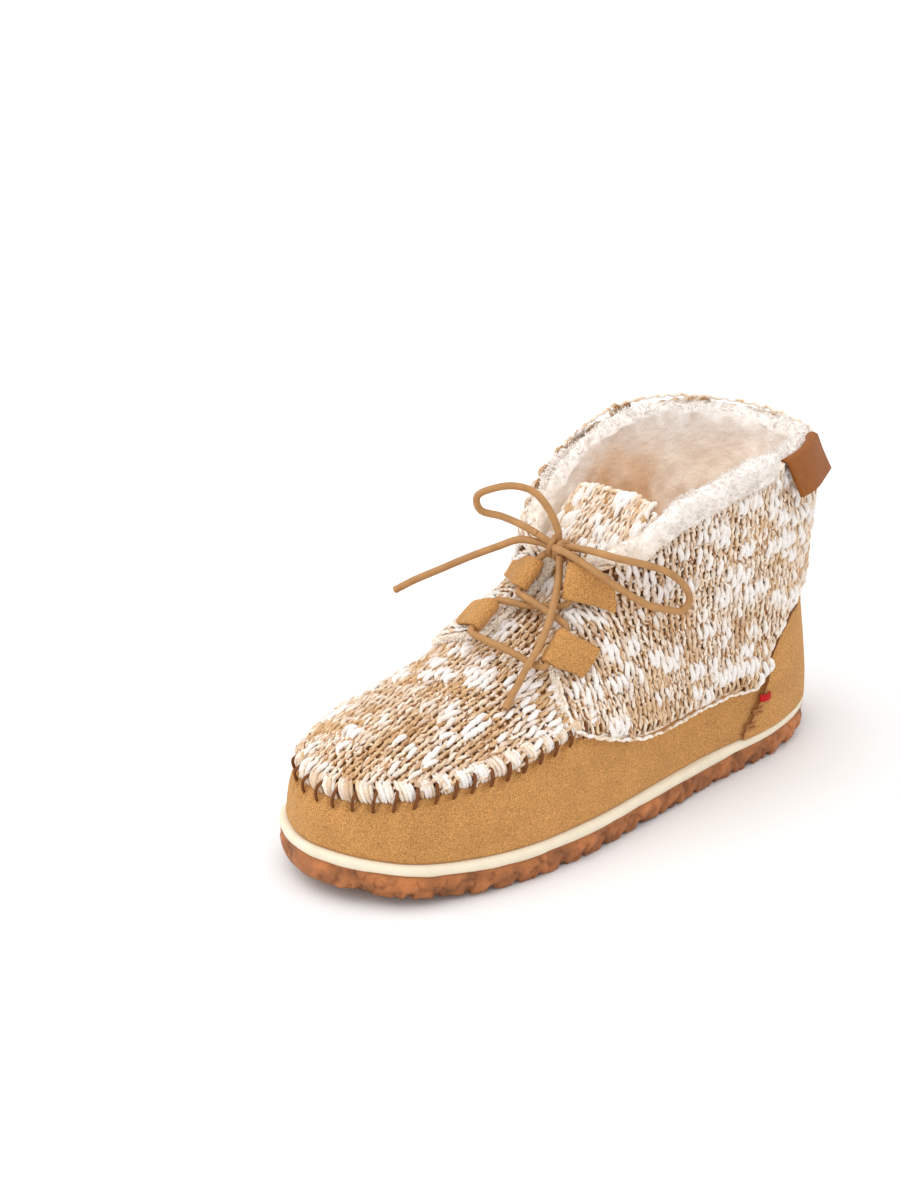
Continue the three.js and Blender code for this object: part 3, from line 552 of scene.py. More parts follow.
def slab(name, levels, stations, mat, node, side=None, floor=None, attr=None, tint=(1, 1, 1)):
    """levels: (inset, z) from bottom to top. side(s, z, which) pushes the wall out; floor(x, y) lifts the bottom."""
    t = np.linspace(.005, math.pi - .005, stations)
    f = (1 - np.cos(t)) / 2
    parts = []
    for inset, z in levels:
        S = Sides(inset)
        x = mix(S.heel, S.toe, f)
        parts.append((x, S, z))
    cols = {}
    for which in ("lateral", "medial"):
        rows = []
        for x, S, z in parts:
            y = getattr(S, which)(x)
            p = np.stack([x, y, z + spring(x)], -1)
            tn = unit(np.gradient(p[:, :2], axis=0))
            n = np.stack([-tn[:, 1], tn[:, 0]], -1) * (1 if which == "lateral" else -1)
            s = np.concatenate([[0], np.cumsum(np.linalg.norm(np.diff(p[:, :2], axis=0), axis=1))])
            d = np.zeros_like(s)
            if side is not None:
                d, dz = side(s, np.full_like(s, z), which, x)
                ends = ease(.5, 7, s) * ease(.5, 7, s[-1] - s)
                d, dz = d * ends, dz * ends
                p[:, :2] += n * d[:, None]
                p[:, 2] += dz
            rows.append(np.concatenate([p, d[:, None]], 1))
        cols[which] = np.stack(rows, 1)
    L, Md = cols["lateral"], cols["medial"]
    if floor is not None:
        k = np.linspace(0, 1, 14)[1:-1]  # across the tread
        bottom = L[:, 0][:, None] * (1 - k)[None, :, None] + Md[:, 0][:, None] * k[None, :, None]
        bottom[..., 2] = spring(bottom[..., 0]) + floor(bottom[..., 0], bottom[..., 1])
        ring = np.concatenate([L[:, ::-1], bottom, Md], 1)
    else:
        ring = np.concatenate([L[:, ::-1], Md], 1)
    V, Fc = rings(np.ascontiguousarray(ring[..., :3]))
    strips = [(q[k], q[k + 1], q[-2 - k], q[-1 - k]) for q in Fc[-2:] for k in range(len(q) // 2 - 1)]
    Fc = [tuple(q) for q in Fc[:-2]] + strips
    shade = None
    # painted shade of the relief: the gum's colour lighter where its wall bulges out and darker in its hollows
    if attr:
        q = ring[..., 3].reshape(-1)
        shade = np.clip(np.array(tint) * (1 + .32 * np.clip(q, -1.4, 1.0))[:, None], 0, 1)
    return make(name, V, Fc, mat, (node,), color=shade, attr=attr or "relief_shade")


def arch(x):
    return 1.4 * ease(78, 100, x) * (1 - ease(118, 142, x))


def gum_side(s, z, which, x):
    seed = 3 if which == "lateral" else 9
    low = 1 - ease(0, 5.5, z)
    g = groove(x + 1.2 * noise2(s, z * 0 + 1, 5, 1, seed + 5))
    d = crinkle(s, z, seed) * (0.55 + 0.45 * ease(0, 3, z)) * (1 - 0.75 * ease(9.0, 10.3, z)) - 1.5 * g * low
    nick = np.maximum(noise2(s, z * 0, 3.2, 1, seed + 7) - .05, 0)
    dz = np.where(z < 0.5, 2.2 * g + 1.5 * nick + arch(x), 0.0) + np.where(z > 10, 0.35 * noise2(s, z * 0, 7, 1, seed + 4), 0)
    return d, dz


slab("gum_outsole", [(1.9, 0.0), (1.3, 0.9), (0.9, 2.0), (0.55, 3.2), (0.3, 4.5), (0.1, 5.8), (0.0, 7.1), (0.05, 8.4), (0.25, 9.6), (0.8, 10.6)], 620, M_GUM, "outsole",
     gum_side, lambda x, y: 2.4 * groove(x) + arch(x), "relief_shade", (0.365, 0.126, 0.037))


def welt_side(s, z, which, x):
    return 0.10 * noise2(s, z, 18, 6, 21), np.where(z < 11, 0.35 * noise2(s, z * 0, 7, 1, 7 if which == "lateral" else 13), 0.0)


slab("cream_welt", [(1.6, 10.3), (0.55, 10.75), (0.1, 11.6), (0.05, 12.8), (0.3, 13.9), (0.9, 14.6), (2.0, 14.95), (5.0, 14.95)], 300, M_WELT, "midsole", welt_side)

# ------------------------------------------------------------------ suede rand
# top line: the plug's seam round the toe, then under the quarter's lower edge
def seam_e(a):
    return sight_for(a, lambda p: line(SEAM_Z, p[..., 0]))


sa = np.concatenate([np.linspace(-24, -12, 60), np.linspace(-12, 12, 241)[1:], np.linspace(12, 24, 60)[1:]])
SEAM = surf(sa, seam_e(sa))[0]
SS = np.concatenate([[0], np.cumsum(np.linalg.norm(np.diff(SEAM, axis=0), axis=1))])
PITCH = 8.0
N_ST = int(SS[-1] // PITCH)
PHASE = (SS[-1] - N_ST * PITCH) / 2


def seam_s(a):
    return np.interp(a, sa, SS)


def stitch_wave(s):
    """1 on a stitch, 0 half-way between."""
    return .5 + .5 * np.cos(2 * np.pi * (s - PHASE) / PITCH)


ra = np.interp(np.linspace(0, 1, 421), np.linspace(0, 1, 421), np.interp(np.linspace(0, 1, 421), (lambda s: s / s[-1])(np.concatenate([[0], np.cumsum(np.linalg.norm(np.diff(surf(np.linspace(-112, 112, 1200), 2.0)[0], axis=0), axis=1))])), np.linspace(-112, 112, 1200)))
e0 = sight_for(ra, lambda p: feather_z(p[..., 0]) - .35)
front = 1 - ease(21.5, 24.5, np.abs(ra))
e1 = mix(line(QUARTER, np.minimum(np.abs(ra), 105)) + 3.2, seam_e(np.clip(ra, -24, 24)), front)
tr = np.linspace(0, 1, 30)
E = mix(e0[:, None], e1[:, None], tr[None, :])
P, N = surf(ra[:, None], E)
dist = np.concatenate([np.zeros((len(ra), 1)), np.cumsum(np.linalg.norm(np.diff(P, axis=1), axis=2), axis=1)], 1)
below = dist[:, -1:] - dist                     # way down from the top line
s2 = seam_s(ra)[:, None]
wave = stitch_wave(s2)
pucker = front[:, None] * np.exp(-(below / 7.0) ** 2)
o = pucker * (0.5 - 1.5 * wave) - front[:, None] * 1.3 * wave * np.exp(-((below - 3.2) / 1.6) ** 2)
o += front[:, None] * -1.6 * np.exp(-(below / 1.4) ** 2)
# long soft folds that run down from the gathers, and the stretch over the last
o += front[:, None] * 0.22 * np.cos(2 * np.pi * (s2 - PHASE) / PITCH + np.pi) * np.exp(-(below / 15.0) ** 2)
o += 0.35 * noise(P, 26, 5) + 0.15 * noise(P, 9, 6)
low = np.exp(-(dist / 3.0) ** 2)
o += 0.5 * low - 1.0 * np.exp(-(dist / 0.8) ** 2)
# creases given one by one: (angle, sight angle, length along, direction, depth, width)
for a0, ee, run, tilt, depth, wd in ((26, 3.5, 26, 0.15, 0.55, 3.0), (34, 1.0, 24, -0.1, 0.5, 3.4), (-27, 3.0, 26, -0.15, 0.5, 3.2), (-37, 1.5, 22, 0.1, 0.45, 3.4), (52, 2.0, 20, 0.2, 0.35, 3.5)):
    c0, n0 = surf(a0, ee)
    tdir = unit(np.cross(n0, np.array([0, 0, 1.0])))
    along = unit(tdir * math.cos(tilt) + np.array([0, 0, 1.0]) * math.sin(tilt))
    q = P - c0
    x_, y_ = (q * along).sum(-1), (q * np.cross(n0, along)).sum(-1)
    o -= depth * np.exp(-(x_ / run) ** 2) * (np.exp(-(y_ / wd) ** 2) - 0.6 * np.exp(-((y_ - 1.8 * wd) / wd) ** 2))
outer = P + N * (0.35 + o)[..., None]
outer[:, 0, 2] = np.minimum(outer[:, 0, 2], P[:, 0, 2])
V, Fc = sheet(outer, P - N * 1.0)
make("suede_rand", V, Fc, M_SUEDE, ("upper",))

# ------------------------------------------------------------------ heel counter
ca = np.linspace(80.8, 279.2, 200)
ct = line(COUNTER_TOP, fold(ca))
e0 = sight_for(ca, lambda p: feather_z(p[..., 0]) - .3)
e1 = sight_for(ca, lambda p: ct)
E = mix(e0[:, None], e1[:, None], np.linspace(0, 1, 44)[None, :])
P, N = surf(ca[:, None], E)
edge = np.minimum(np.minimum(np.arange(44)[None, ::-1] * .9, np.arange(200)[:, None] * .84), np.arange(200)[::-1][:, None] * .84)
o = GAP + 1.75 - .8 * np.exp(-(edge / .7) ** 2) + 0.3 * noise(P, 22, 8) + 0.12 * noise(P, 8, 9)
o -= 0.35 * np.exp(-((edge - 3.0) / 1.0) ** 2)
V, Fc = sheet(P + N * o[..., None], P + N * .25)
make("suede_counter", V, Fc, M_SUEDE, ("heel_counter",))


# ------------------------------------------------------------------ knit
WALE, ROW = 5.3, 4.1
PER = 12
CREAM, WHITE = np.array([0.90, 0.795, 0.68]), np.array([0.87, 0.82, 0.78])
GOLD, TAN, BROWN = np.array([0.70, 0.47, 0.245]), np.array([0.54, 0.285, 0.108]), np.array([0.31, 0.135, 0.050])


def slub_of(u, v, seed):
    """Fat white runs of the yarn, longer along a row than across."""
    more = .14 - .14 * ease(115, 150, v) if seed == 101 else 0.0
    return ease(.02 + more, .56 + more, .72 * noise2(u, v, 6.8, 3.6, seed + 40) + .20 * noise2(u, v, 34, 20, seed + 41) + .62 * noise2(u, v, 3.1, 2.4, seed + 47))


def gold_of(u, v, seed):
    return ease(.05, .55, noise2(u, v, 9.0, 4.6, seed + 42) + .30 * noise2(u, v, 30, 16, seed + 43))


def main_colour(u, v, seed, fleck=0.0):
    s, g = slub_of(u, v, seed)[:, None], gold_of(u, v, seed)[:, None]
    fine = noise2(u, v, 2.6, 2.4, seed + 44)[:, None]
    base = mix(mix(CREAM, GOLD, np.clip((.34 - .30 * ease(115, 150, v)[:, None] if seed == 101 else -.02) + 1.0 * fine, 0, 1)), mix(GOLD, TAN, np.clip(.32 + .9 * fine, 0, 1)), g * (.88 if seed == 101 else .70))
    fl = np.clip(np.asarray(fleck), 0, 1)
    base = mix(base, mix(TAN, BROWN, np.clip(.3 + .6 * fine, 0, 1)), (fl[:, None] if np.ndim(fl) else fl) * .65)
    return mix(base, WHITE, np.clip(s * 1.1 + .12 * fine, 0, 1))


# the thin ply sits low between the loops; its brown is partly the yarn's own and partly painted shade of the gaps
def ply_and_gap_shade_colour(u, v, seed, fleck=0.0):
    s = slub_of(u, v, seed)[:, None]
    fine = noise2(u, v, 5.5, 4.0, seed + 45)[:, None]
    return mix(mix(TAN, BROWN, np.clip(.45 + .8 * fine, 0, 1)), CREAM, s * .55)


def knit(name, mapf, inside, u0, u1, v0, v1, lift, seed, nodes, radius=.68):
    """Rows of knitted loops; each yarn is a pale slubby strand twisted with a thinner brown one that lies low in the
    gaps, its brown partly the yarn's own and partly painted shade of the gaps.
    """
    nu, nv = int((u1 - u0) / WALE), int((v1 - v0) / ROW)
    I, J = np.meshgrid(np.arange(nu), np.arange(nv))
    uc, vc = u0 + (I + .5) * WALE, v0 + (J + .5) * ROW
    ok = inside(uc, vc) & inside(uc, vc - .6 * ROW) & inside(uc, vc + .3 * ROW)
    out = {0: ([], [], [], [], [], []), 1: ([], [], [], [], [], [])}
    t1 = np.linspace(0, 1, PER, endpoint=False)
    for j in range(nv):
        row = ok[j]
        k = 0
        while k < nu:
            if not row[k]:
                k += 1
                continue
            k2 = k
            while k2 < nu and row[k2]:
                k2 += 1
            t = np.append((np.arange(k, k2)[:, None] + t1[None, :]).ravel(), k2)
            th = (t - k) * 2 * np.pi
            knots = np.arange(k, k2 + 1)
            jv = np.interp(t, knots, rng.normal(0, .10, len(knots)))
            ju = np.interp(t, knots, rng.normal(0, .07, len(knots)))
            u = u0 + (t + ju) * WALE + .19 * WALE * np.sin(2 * th)
            v = v0 + (j + .5 + jv) * ROW - .98 * ROW * np.cos(th)
            Pm, Nm = mapf(u, v)
            vr = np.full_like(u, v0 + (j + .5) * ROW)
            c = Pm + Nm * (lift(u, v) - (.52 + .50 * slub_of(u, vr, seed)) * np.cos(2 * th) + .28 * jv)[:, None]
            arc = np.concatenate([[0], np.cumsum(np.linalg.norm(np.diff(c, axis=0), axis=1))])
            T = unit(np.gradient(c, axis=0))
            S = unit(np.cross(T, Nm))
            psi = arc * 2 * np.pi / 10.5 + rng.random() * 6.28
            side = S * np.cos(psi)[:, None] + Nm * np.sin(psi)[:, None]
            vv = np.full_like(u, v0 + (j + .5) * ROW)
            sl, gd = slub_of(u, vv, seed), gold_of(u, vv, seed)
            fat = radius * (1 + .10 * gd + .82 * sl + .20 * noise2(u, vv, 3.5, 2.0, seed + 46)) * (1 - .30 * sl * (.5 + .5 * np.cos(2 * th)))
            for q, (path, r) in enumerate(((c + side * .24 + Nm * (.26 * sl)[:, None], fat), (c - side * (.66 + .22 * sl)[:, None] - Nm * .36, np.full_like(fat, .42)))):
                o = out[q]
                o[0].append(path)
                o[1].append(r)
                o[2].append(Nm)
                o[3].append(u)
                o[4].append(vv)
                o[5].append(arc)
            k = k2
    # a slanted closing stitch over each loop that no row above holds
    above = np.vstack([ok[1:], np.zeros((1, nu), bool)])
    w = np.linspace(-1, 1, 8)
    for j, i in zip(*np.nonzero(ok & ~above)):
        u, v = uc[j, i] + .58 * WALE * w, vc[j, i] + (.60 + .24 * w) * ROW
        Pm, Nm = mapf(u, v)
        vv = np.full_like(u, vc[j, i])
        c = Pm + Nm * (lift(u, v) + .60 - .7 * w**2)[:, None]
        for o, k in zip(out[0], (c, (.98 + .30 * slub_of(u, vv, seed)) * np.sqrt(1 - .8 * w**2), Nm, u, vv, 3.4 * (w + 1))):
            o.append(k)
    Vs, Fs, Cs, base = [], [], [], 0
    for q, colour in ((0, main_colour), (1, ply_and_gap_shade_colour)):
        o = out[q]
        V, Fc, idx, ang = tube(o[0], o[1], (6, 4)[q], np.concatenate(o[2]))
        U, W = np.concatenate(o[3])[idx], np.concatenate(o[4])[idx]
        Vs.append(V)
        Fs.append(Fc + base)
        A = np.concatenate(o[5])[idx]
        Cs.append(np.clip(colour(U, W, seed, ease(.35, .75, np.sin(ang + A * 2 * np.pi / 7.5))), 0, .97))
        base += len(V)
    return make(name, np.concatenate(Vs), np.concatenate(Fs), M_YARN, nodes, color=np.concatenate(Cs))


# plug and tongue: u across, v along the ridge from the toe up
XS = np.linspace(95.5, 253.5, 317)
YL = F.lateral(XS) * .985
YM = F.medial(XS) * .985
TT = np.linspace(-1, 1, 121)
Yg = np.where(TT[None, :] > 0, TT[None, :] * YL[:, None], -TT[None, :] * YM[:, None])
Pg = vamp_top(np.broadcast_to(XS[:, None], Yg.shape), Yg)
Ug = np.concatenate([np.zeros((len(XS), 1)), np.cumsum(np.linalg.norm(np.diff(Pg, axis=1), axis=2), axis=1)], 1)
Ug -= Ug[:, 60:61]
UU = np.arange(-70, 70.1, 1.0)
YofU = np.stack([np.interp(UU, Ug[i], Yg[i]) for i in range(len(XS))])
mid_ = vamp_top(XS, np.zeros_like(XS))
VL = np.concatenate([[0], np.cumsum(np.linalg.norm(np.diff(mid_[::-1], axis=0), axis=1))])[::-1]   # way from the toe end


def plug_xy(u, v):
    x = np.interp(-v, -VL, XS)
    i = (x - XS[0]) / (XS[1] - XS[0])
    return x, bilinear(YofU, i, np.clip(u + 70, 0, len(UU) - 1.001))


def seam_near(P):
    """Way from the plug's seam and the place along it."""
    d = np.full(P.shape[:-1], 1e9)
    s = np.zeros(P.shape[:-1])
    flat, dm, sm = P.reshape(-1, 3), d.ravel(), s.ravel()
    for k in range(0, len(flat), 4000):
        D = np.linalg.norm(flat[k:k + 4000, None] - SEAM[None, ::3], axis=2)
        dm[k:k + 4000] = D.min(1)
        sm[k:k + 4000] = SS[::3][D.argmin(1)]
    return dm.reshape(d.shape), sm.reshape(d.shape)


def tongue_top(x, y):
    """The vamp's upper face, with the tongue's free end held flatter."""
    p = vamp_top(x, y)
    flat = ridge_z(x) + 1.0 + .15 * y - .004 * y * y
    p[..., 2] += (1 - ease(101, 142, x)) * np.maximum(flat - p[..., 2], 0) * (1 - ease(28, 34, np.abs(y)))
    return p


def tongue_face(x, y):
    h = .4
    p = tongue_top(x, y)
    n = unit(np.cross(tongue_top(x + h, y) - tongue_top(x - h, y), tongue_top(x, y + h) - tongue_top(x, y - h)))
    n = n * np.sign(n[..., 2:3])
    return p, np.where((x < 143)[..., None], n, normal(p, vamp))


def plug_map(u, v):
    return tongue_face(*plug_xy(u, v))


def tongue_edge(x, sgn):
    k = ease(97, 135, x)
    return -1 + (mix(26.5, 25, k) if sgn > 0 else -mix(21.5, 25, k))


def plug_inside(u, v):
    x, y = plug_xy(u, v)
    p = vamp_top(x, y)
    a, e = angles_of(p)
    edge = np.where(y > 0, np.interp(e, FLAP_EDGE[:, 0], FLAP_EDGE[:, 1]), np.interp(e, FLAP_EDGE[:, 0], FLAP_EDGE[:, 2]))
    on_plug = (p[..., 2] > line(SEAM_Z, x) + 0.8) & ((np.abs(a) < edge + 5.5) | (x > 172))
    on_tongue = (y < tongue_edge(x, 1) - 1.0) & (y > tongue_edge(x, -1) + 1.0)
    return np.where((x > 160) | (e < 27), on_plug, on_tongue) & (x > 98.0) & (np.abs(u) < 66)


def plug_lift(u, v):
    p, n = plug_map(u, v)
    d, s = seam_near(p)
    bead = 1 - stitch_wave(s)
    return 1.35 + 2.4 * bead * np.exp(-((d - 3.0) / 4.5) ** 2) - .8 * np.exp(-(d / 2.0) ** 2) + .5 * noise(p, 16, 31)


knit("knit_plug", plug_map, plug_inside, -66, 66, 1.0, VL.max(), plug_lift, 101, ("tongue",))

# ground of plug and tongue: a dark sheet under the loops, painted shade that shows in the gaps between stitches
xg = np.linspace(101.0, 251.5, 110)
tg = np.linspace(-1, 1, 35)


def plug_half(x, sgn):
    yc, w, z0, h, n = section(x, np.full_like(x, sgn * 100.0))
    seam = yc + sgn * w * np.maximum(1 - np.clip((line(SEAM_Z, x) - z0) / h, 0, 1) ** n, 1e-6) ** (1 / n)
    return mix(tongue_edge(x, sgn), seam, ease(138, 156, x))


yl, ym = plug_half(xg, 1), plug_half(xg, -1)
Y = np.where(tg[None, :] > 0, mix(((yl + ym) / 2)[:, None], yl[:, None], tg[None, :]), mix(((yl + ym) / 2)[:, None], ym[:, None], -tg[None, :]))
P, N = tongue_face(np.broadcast_to(xg[:, None], Y.shape), Y)
V, Fc = sheet(P + N * .35, P - N * 1.2)
make("plug_gap_shade", V, Fc, M_GAP_SHADE, ("tongue",))

# quarters: wales stand in planes across the foot in front of the ankle and fan round the heel behind it
NV = 170


def columns(sgn):
    xs = np.linspace(172, 55, 80)
    be = np.radians(np.linspace(-22, 92, 191))
    o_ = np.stack([xs, np.zeros_like(xs), np.full_like(xs, 30.0)], -1)[:, None]
    d_ = np.stack([np.zeros_like(be), sgn * np.cos(be), np.sin(be)], -1)[None]
    r0, r1 = np.full((80, 191), .5), np.full((80, 191), 130.0)
    for _ in range(24):
        m = (r0 + r1) / 2
        ins = form(o_ + d_ * m[..., None]) < 0
        r0, r1 = np.where(ins, m, r0), np.where(ins, r1, m)
    rows = list(o_ + d_ * ((r0 + r1) / 2)[..., None])
    for a in np.linspace(90, 180, 61)[1:]:
        rows.append(surf(np.full(len(ES), a if sgn > 0 else 360 - a), ES)[0])
    P_, top = [], []
    for q in rows:
        sl = np.concatenate([[0], np.cumsum(np.linalg.norm(np.diff(q, axis=0), axis=1))])
        k = np.argmax(q[:, 2] > 30.0)
        z0 = sl[k - 1] + (30.0 - q[k - 1, 2]) / max(q[k, 2] - q[k - 1, 2], 1e-6) * (sl[k] - sl[k - 1])
        vv = np.arange(NV) + z0
        P_.append(np.stack([np.interp(vv, sl, q[:, c]) for c in range(3)], -1))
        top.append(sl[-1] - z0)
    P_ = np.array(P_)
    gap = np.linalg.norm(np.diff(P_[:, 10:70], axis=0), axis=2).mean(1)
    return P_, normal(P_), np.concatenate([[0], np.cumsum(gap)]), np.array(top)


QC = {1: columns(1), -1: columns(-1)}


def quarter_map_of(sgn):
    P_, N_, U_, top = QC[sgn]

    def f(u, v):
        i = np.interp(u, U_, np.arange(len(U_)))
        v = np.clip(v, 0, NV - 1.001)
        return bilinear(P_, i, v), unit(bilinear(N_, i, v))

    return f


def quarter_in_of(sgn):
    top, U_ = QC[sgn][3], QC[sgn][2]
    mp = quarter_map_of(sgn)

    def f(u, v, pad=.35):
        p, n = mp(u, v)
        a, e = angles_of(p)
        return quarter_inside(a, e, pad) & (v < np.interp(u, U_, top) - 2) & (v > 0)

    return f


ring_ = surf(AS, sight_for(AS, lambda p: np.full(p.shape[:-1], 78.0)))[0]
AU = np.concatenate([[0], np.cumsum(np.linalg.norm(np.diff(ring_, axis=0), axis=1))])


def collar_e(a):
    return sight_for(a, lambda p: table(COLLAR, fold(a)))


_cg = np.linspace(0, 360, 361)
_ce = collar_e(_cg)


def quarter_inside(a, e, pad=0.0):
    f = fold(a)
    col = np.where(a % 360 < 180, np.interp(e, FLAP_EDGE[:, 0], FLAP_EDGE[:, 1]), np.interp(e, FLAP_EDGE[:, 0], FLAP_EDGE[:, 2]))
    return (e > line(QUARTER, f) + pad - 6.0 * ease(99, 107, f)) & (e < np.interp(a % 360, _cg, _ce) - pad) & (f > col + pad * .6)


def tuck(p):
    """The collar's upper edge drawn in behind the outer ankle, under the tag."""
    a, e = angles_of(p)
    return 4.2 * np.exp(-((np.asarray(a) % 360 - 131) / 30) ** 2) * ease(108, 131, p[..., 2])


def pressed(p, h):
    """Height of the quarter's face: full above, held down along its sewn lower edge."""
    a, e = angles_of(p)
    f = fold(a)
    steep = (line(QUARTER, f + .8) - line(QUARTER, f - .8)) / 1.6
    gap = (e - line(QUARTER, f)) / np.sqrt(1 + steep**2)
    low = mix(2.4, .1, ease(90, 102, f)) - 1.4 * ease(.3, 2.4, -gap)
    return -tuck(p) + mix(low, h, ease(0, mix(5.0, 8.0, ease(90, 102, f)), gap) * ease(15, 24, f) + 1 - ease(15, 24, f))


for sgn, nm, sd in ((1, "lateral", 201), (-1, "medial", 301)):
    mp = quarter_map_of(sgn)

    def lift_(u, v, mp=mp):
        p, n = mp(u, v)
        return pressed(p, flap_depth(p) + .55 + .5 * noise(p, 24, 51))

    knit("knit_quarter_" + nm, mp, quarter_in_of(sgn), QC[sgn][2][-1] % WALE - 1e-6, QC[sgn][2][-1], 0, 150, lift_, sd, ("upper",))


# ground of the quarters, a dark sheet painted as the shade in the gaps between stitches, and the paths of their edges
def masked(outer, inner, ok):
    """Closed sheet over the cells of a grid whose four corners are ok."""
    n, m = ok.shape
    cellok = ok[:-1, :-1] & ok[1:, :-1] & ok[1:, 1:] & ok[:-1, 1:]
    base = n * m
    ij = lambda a, b: a * m + b
    Fc = []
    for a, b in zip(*np.nonzero(cellok)):
        q = (ij(a, b), ij(a + 1, b), ij(a + 1, b + 1), ij(a, b + 1))
        Fc.append(q)
        Fc.append(tuple(base + k for k in q[::-1]))
        for da, db, k0, k1 in ((0, -1, 0, 1), (1, 0, 1, 2), (0, 1, 2, 3), (-1, 0, 3, 0)):
            c, d = a + da, b + db
            if not (0 <= c < n - 1 and 0 <= d < m - 1 and cellok[c, d]):
                Fc.append((q[k1], q[k0], base + q[k0], base + q[k1]))
    V = np.concatenate([outer.reshape(-1, 3), inner.reshape(-1, 3)])
    Fc = np.array(Fc)
    used = np.unique(Fc)
    back_ = np.full(len(V), -1)
    back_[used] = np.arange(len(used))
    V, Fc = V[used], back_[Fc]
    if volume_sign(V - V.mean(0), Fc) < 0:
        Fc = Fc[:, ::-1]
    return V, Fc


def edge_line(sgn):
    """Bottom, front and top edge of a quarter as sight angles."""
    col = 1 if sgn > 0 else 2
    fe = np.linspace(FLAP_EDGE[0, 0], FLAP_EDGE[-1, 0], 160)
    fa_ = np.interp(fe, FLAP_EDGE[:, 0], FLAP_EDGE[:, col])
    ba = np.linspace(FLAP_EDGE[0, col], 109.0, 160)
    ta = np.linspace(FLAP_EDGE[-1, col], 180.0, 160)
    te = np.interp(ta if sgn > 0 else 360 - ta, _cg, _ce)
    return {"bottom": (sgn * ba, line(QUARTER, ba)), "front": (sgn * fa_, fe), "top": (sgn * ta, te)}


edges = {}
for sgn, nm in ((1, "lateral"), (-1, "medial")):
    U, W = np.meshgrid(np.linspace(0, QC[sgn][2][-1], 110), np.arange(1, 150, 1.8), indexing="ij")
    P, N = quarter_map_of(sgn)(U, W)
    fd = flap_depth(P)
    face = pressed(P, fd + .3) - .9
    V, Fc = masked(P + N * face[..., None], P + N * (face - 1.2)[..., None], quarter_in_of(sgn)(U, W, .8))
    make("quarter_gap_shade_" + nm, V, Fc, M_GAP_SHADE, ("upper",))
    edges[nm] = edge_line(sgn)


def chain(name, curves, seed, pitch=3.1):
    """Chain of bead stitches along edges; curves: list of (points, normals)."""
    paths, rads, ups, uu = [], [], [], []
    for k, (p, n) in enumerate(curves):
        s = np.concatenate([[0], np.cumsum(np.linalg.norm(np.diff(p, axis=0), axis=1))])
        m = int(s[-1] / pitch)
        for i in range(m):
            ts = (i + np.linspace(-.12, 1.12, 7)) * pitch
            c = np.stack([np.interp(ts, s, p[:, q]) for q in range(3)], -1)
            nn = unit(np.stack([np.interp(ts, s, n[:, q]) for q in range(3)], -1))
            sd = unit(np.cross(np.gradient(c, axis=0), nn))
            w = np.linspace(-1, 1, 7)
            side = 1 if i % 2 else -1
            paths.append(c + nn * (.55 * np.cos(w * 1.4))[:, None] + sd * (side * .45 * w)[:, None])
            rads.append((.84 + rng.normal(0, .10)) * np.sqrt(np.maximum(1 - (.92 * w) ** 2, .05)))
            ups.append(nn)
            uu.append(ts + 97 * k)
    V, Fc, idx, ang = tube(paths, rads, 6, np.concatenate(ups))
    U = np.concatenate(uu)[idx]
    make(name, V, Fc, M_YARN, ("upper",), color=main_colour(U * 2.6, np.full_like(U, 3.0 * seed), seed))


curves = []
for nm in ("lateral", "medial"):
    for which, up in (("bottom", 0.2), ("front", -.3), ("top", 0.0)):
        a, e = edges[nm][which]
        p, n = surf(a, e)
        curves.append((respace(p + n * pressed(p, flap_depth(p) + up)[:, None], 1.0), None))
        p2 = curves[-1][0]
        aa, eee = angles_of(p2)
        curves[-1] = (p2, surf(aa, eee)[1])
chain("knit_selvedge", curves, 401)
xe = np.linspace(136, 100.6, 40)
ye = np.linspace(tongue_edge(np.array(100.6), 1), tongue_edge(np.array(100.6), -1), 50)
pe, ne = tongue_face(np.concatenate([xe, np.full(50, 100.4), xe[::-1]]), np.concatenate([tongue_edge(xe, 1), ye, tongue_edge(xe[::-1], -1)]))
chain("tongue_selvedge", [(pe + ne * .1, ne)], 402)

# ------------------------------------------------------------------ plug's gathered edge and whip stitches
paths, rads, ups, uu = [], [], [], []
st_paths, st_r = [], []
seam_n = normal(SEAM)
seam_t = unit(np.gradient(SEAM, axis=0))
seam_d = unit(np.cross(seam_n, seam_t))
if seam_d[len(SEAM) // 2, 2] > 0:
    seam_d = -seam_d                      # down the rand
at = lambda arr, s: np.stack([np.interp(s, SS, arr[:, q]) for q in range(3)], -1)
for i in range(N_ST):
    for k in range(4):
        s = PHASE + (i + .12 + (k + .5) / 4 * .76) * PITCH
        c, n, d, t = (at(arr, np.array([s]))[0] for arr in (SEAM, seam_n, seam_d, seam_t))
        bulge = math.sin(math.pi * (k + .5) / 4)
        w = np.linspace(0, 1, 9)
        down = mix(-7.5, .4 + .5 * bulge, w)
        lift = .4 + (1.2 + 2.0 * bulge) * np.sin(np.pi * np.clip(w * 1.02, 0, 1)) ** .8 - 1.3 * w**3
        slant = 2.6 * (w - .5) + .15 * rng.normal()
        paths.append(c + d * down[:, None] + n * lift[:, None] + t * slant[:, None])
        rads.append((1.05 + .10 * rng.normal()) * (1 - .35 * np.abs(2 * w - 1) ** 3))
        ups.append(np.broadcast_to(n, (9, 3)))
        uu.append(np.full(9, s) + w * 2)
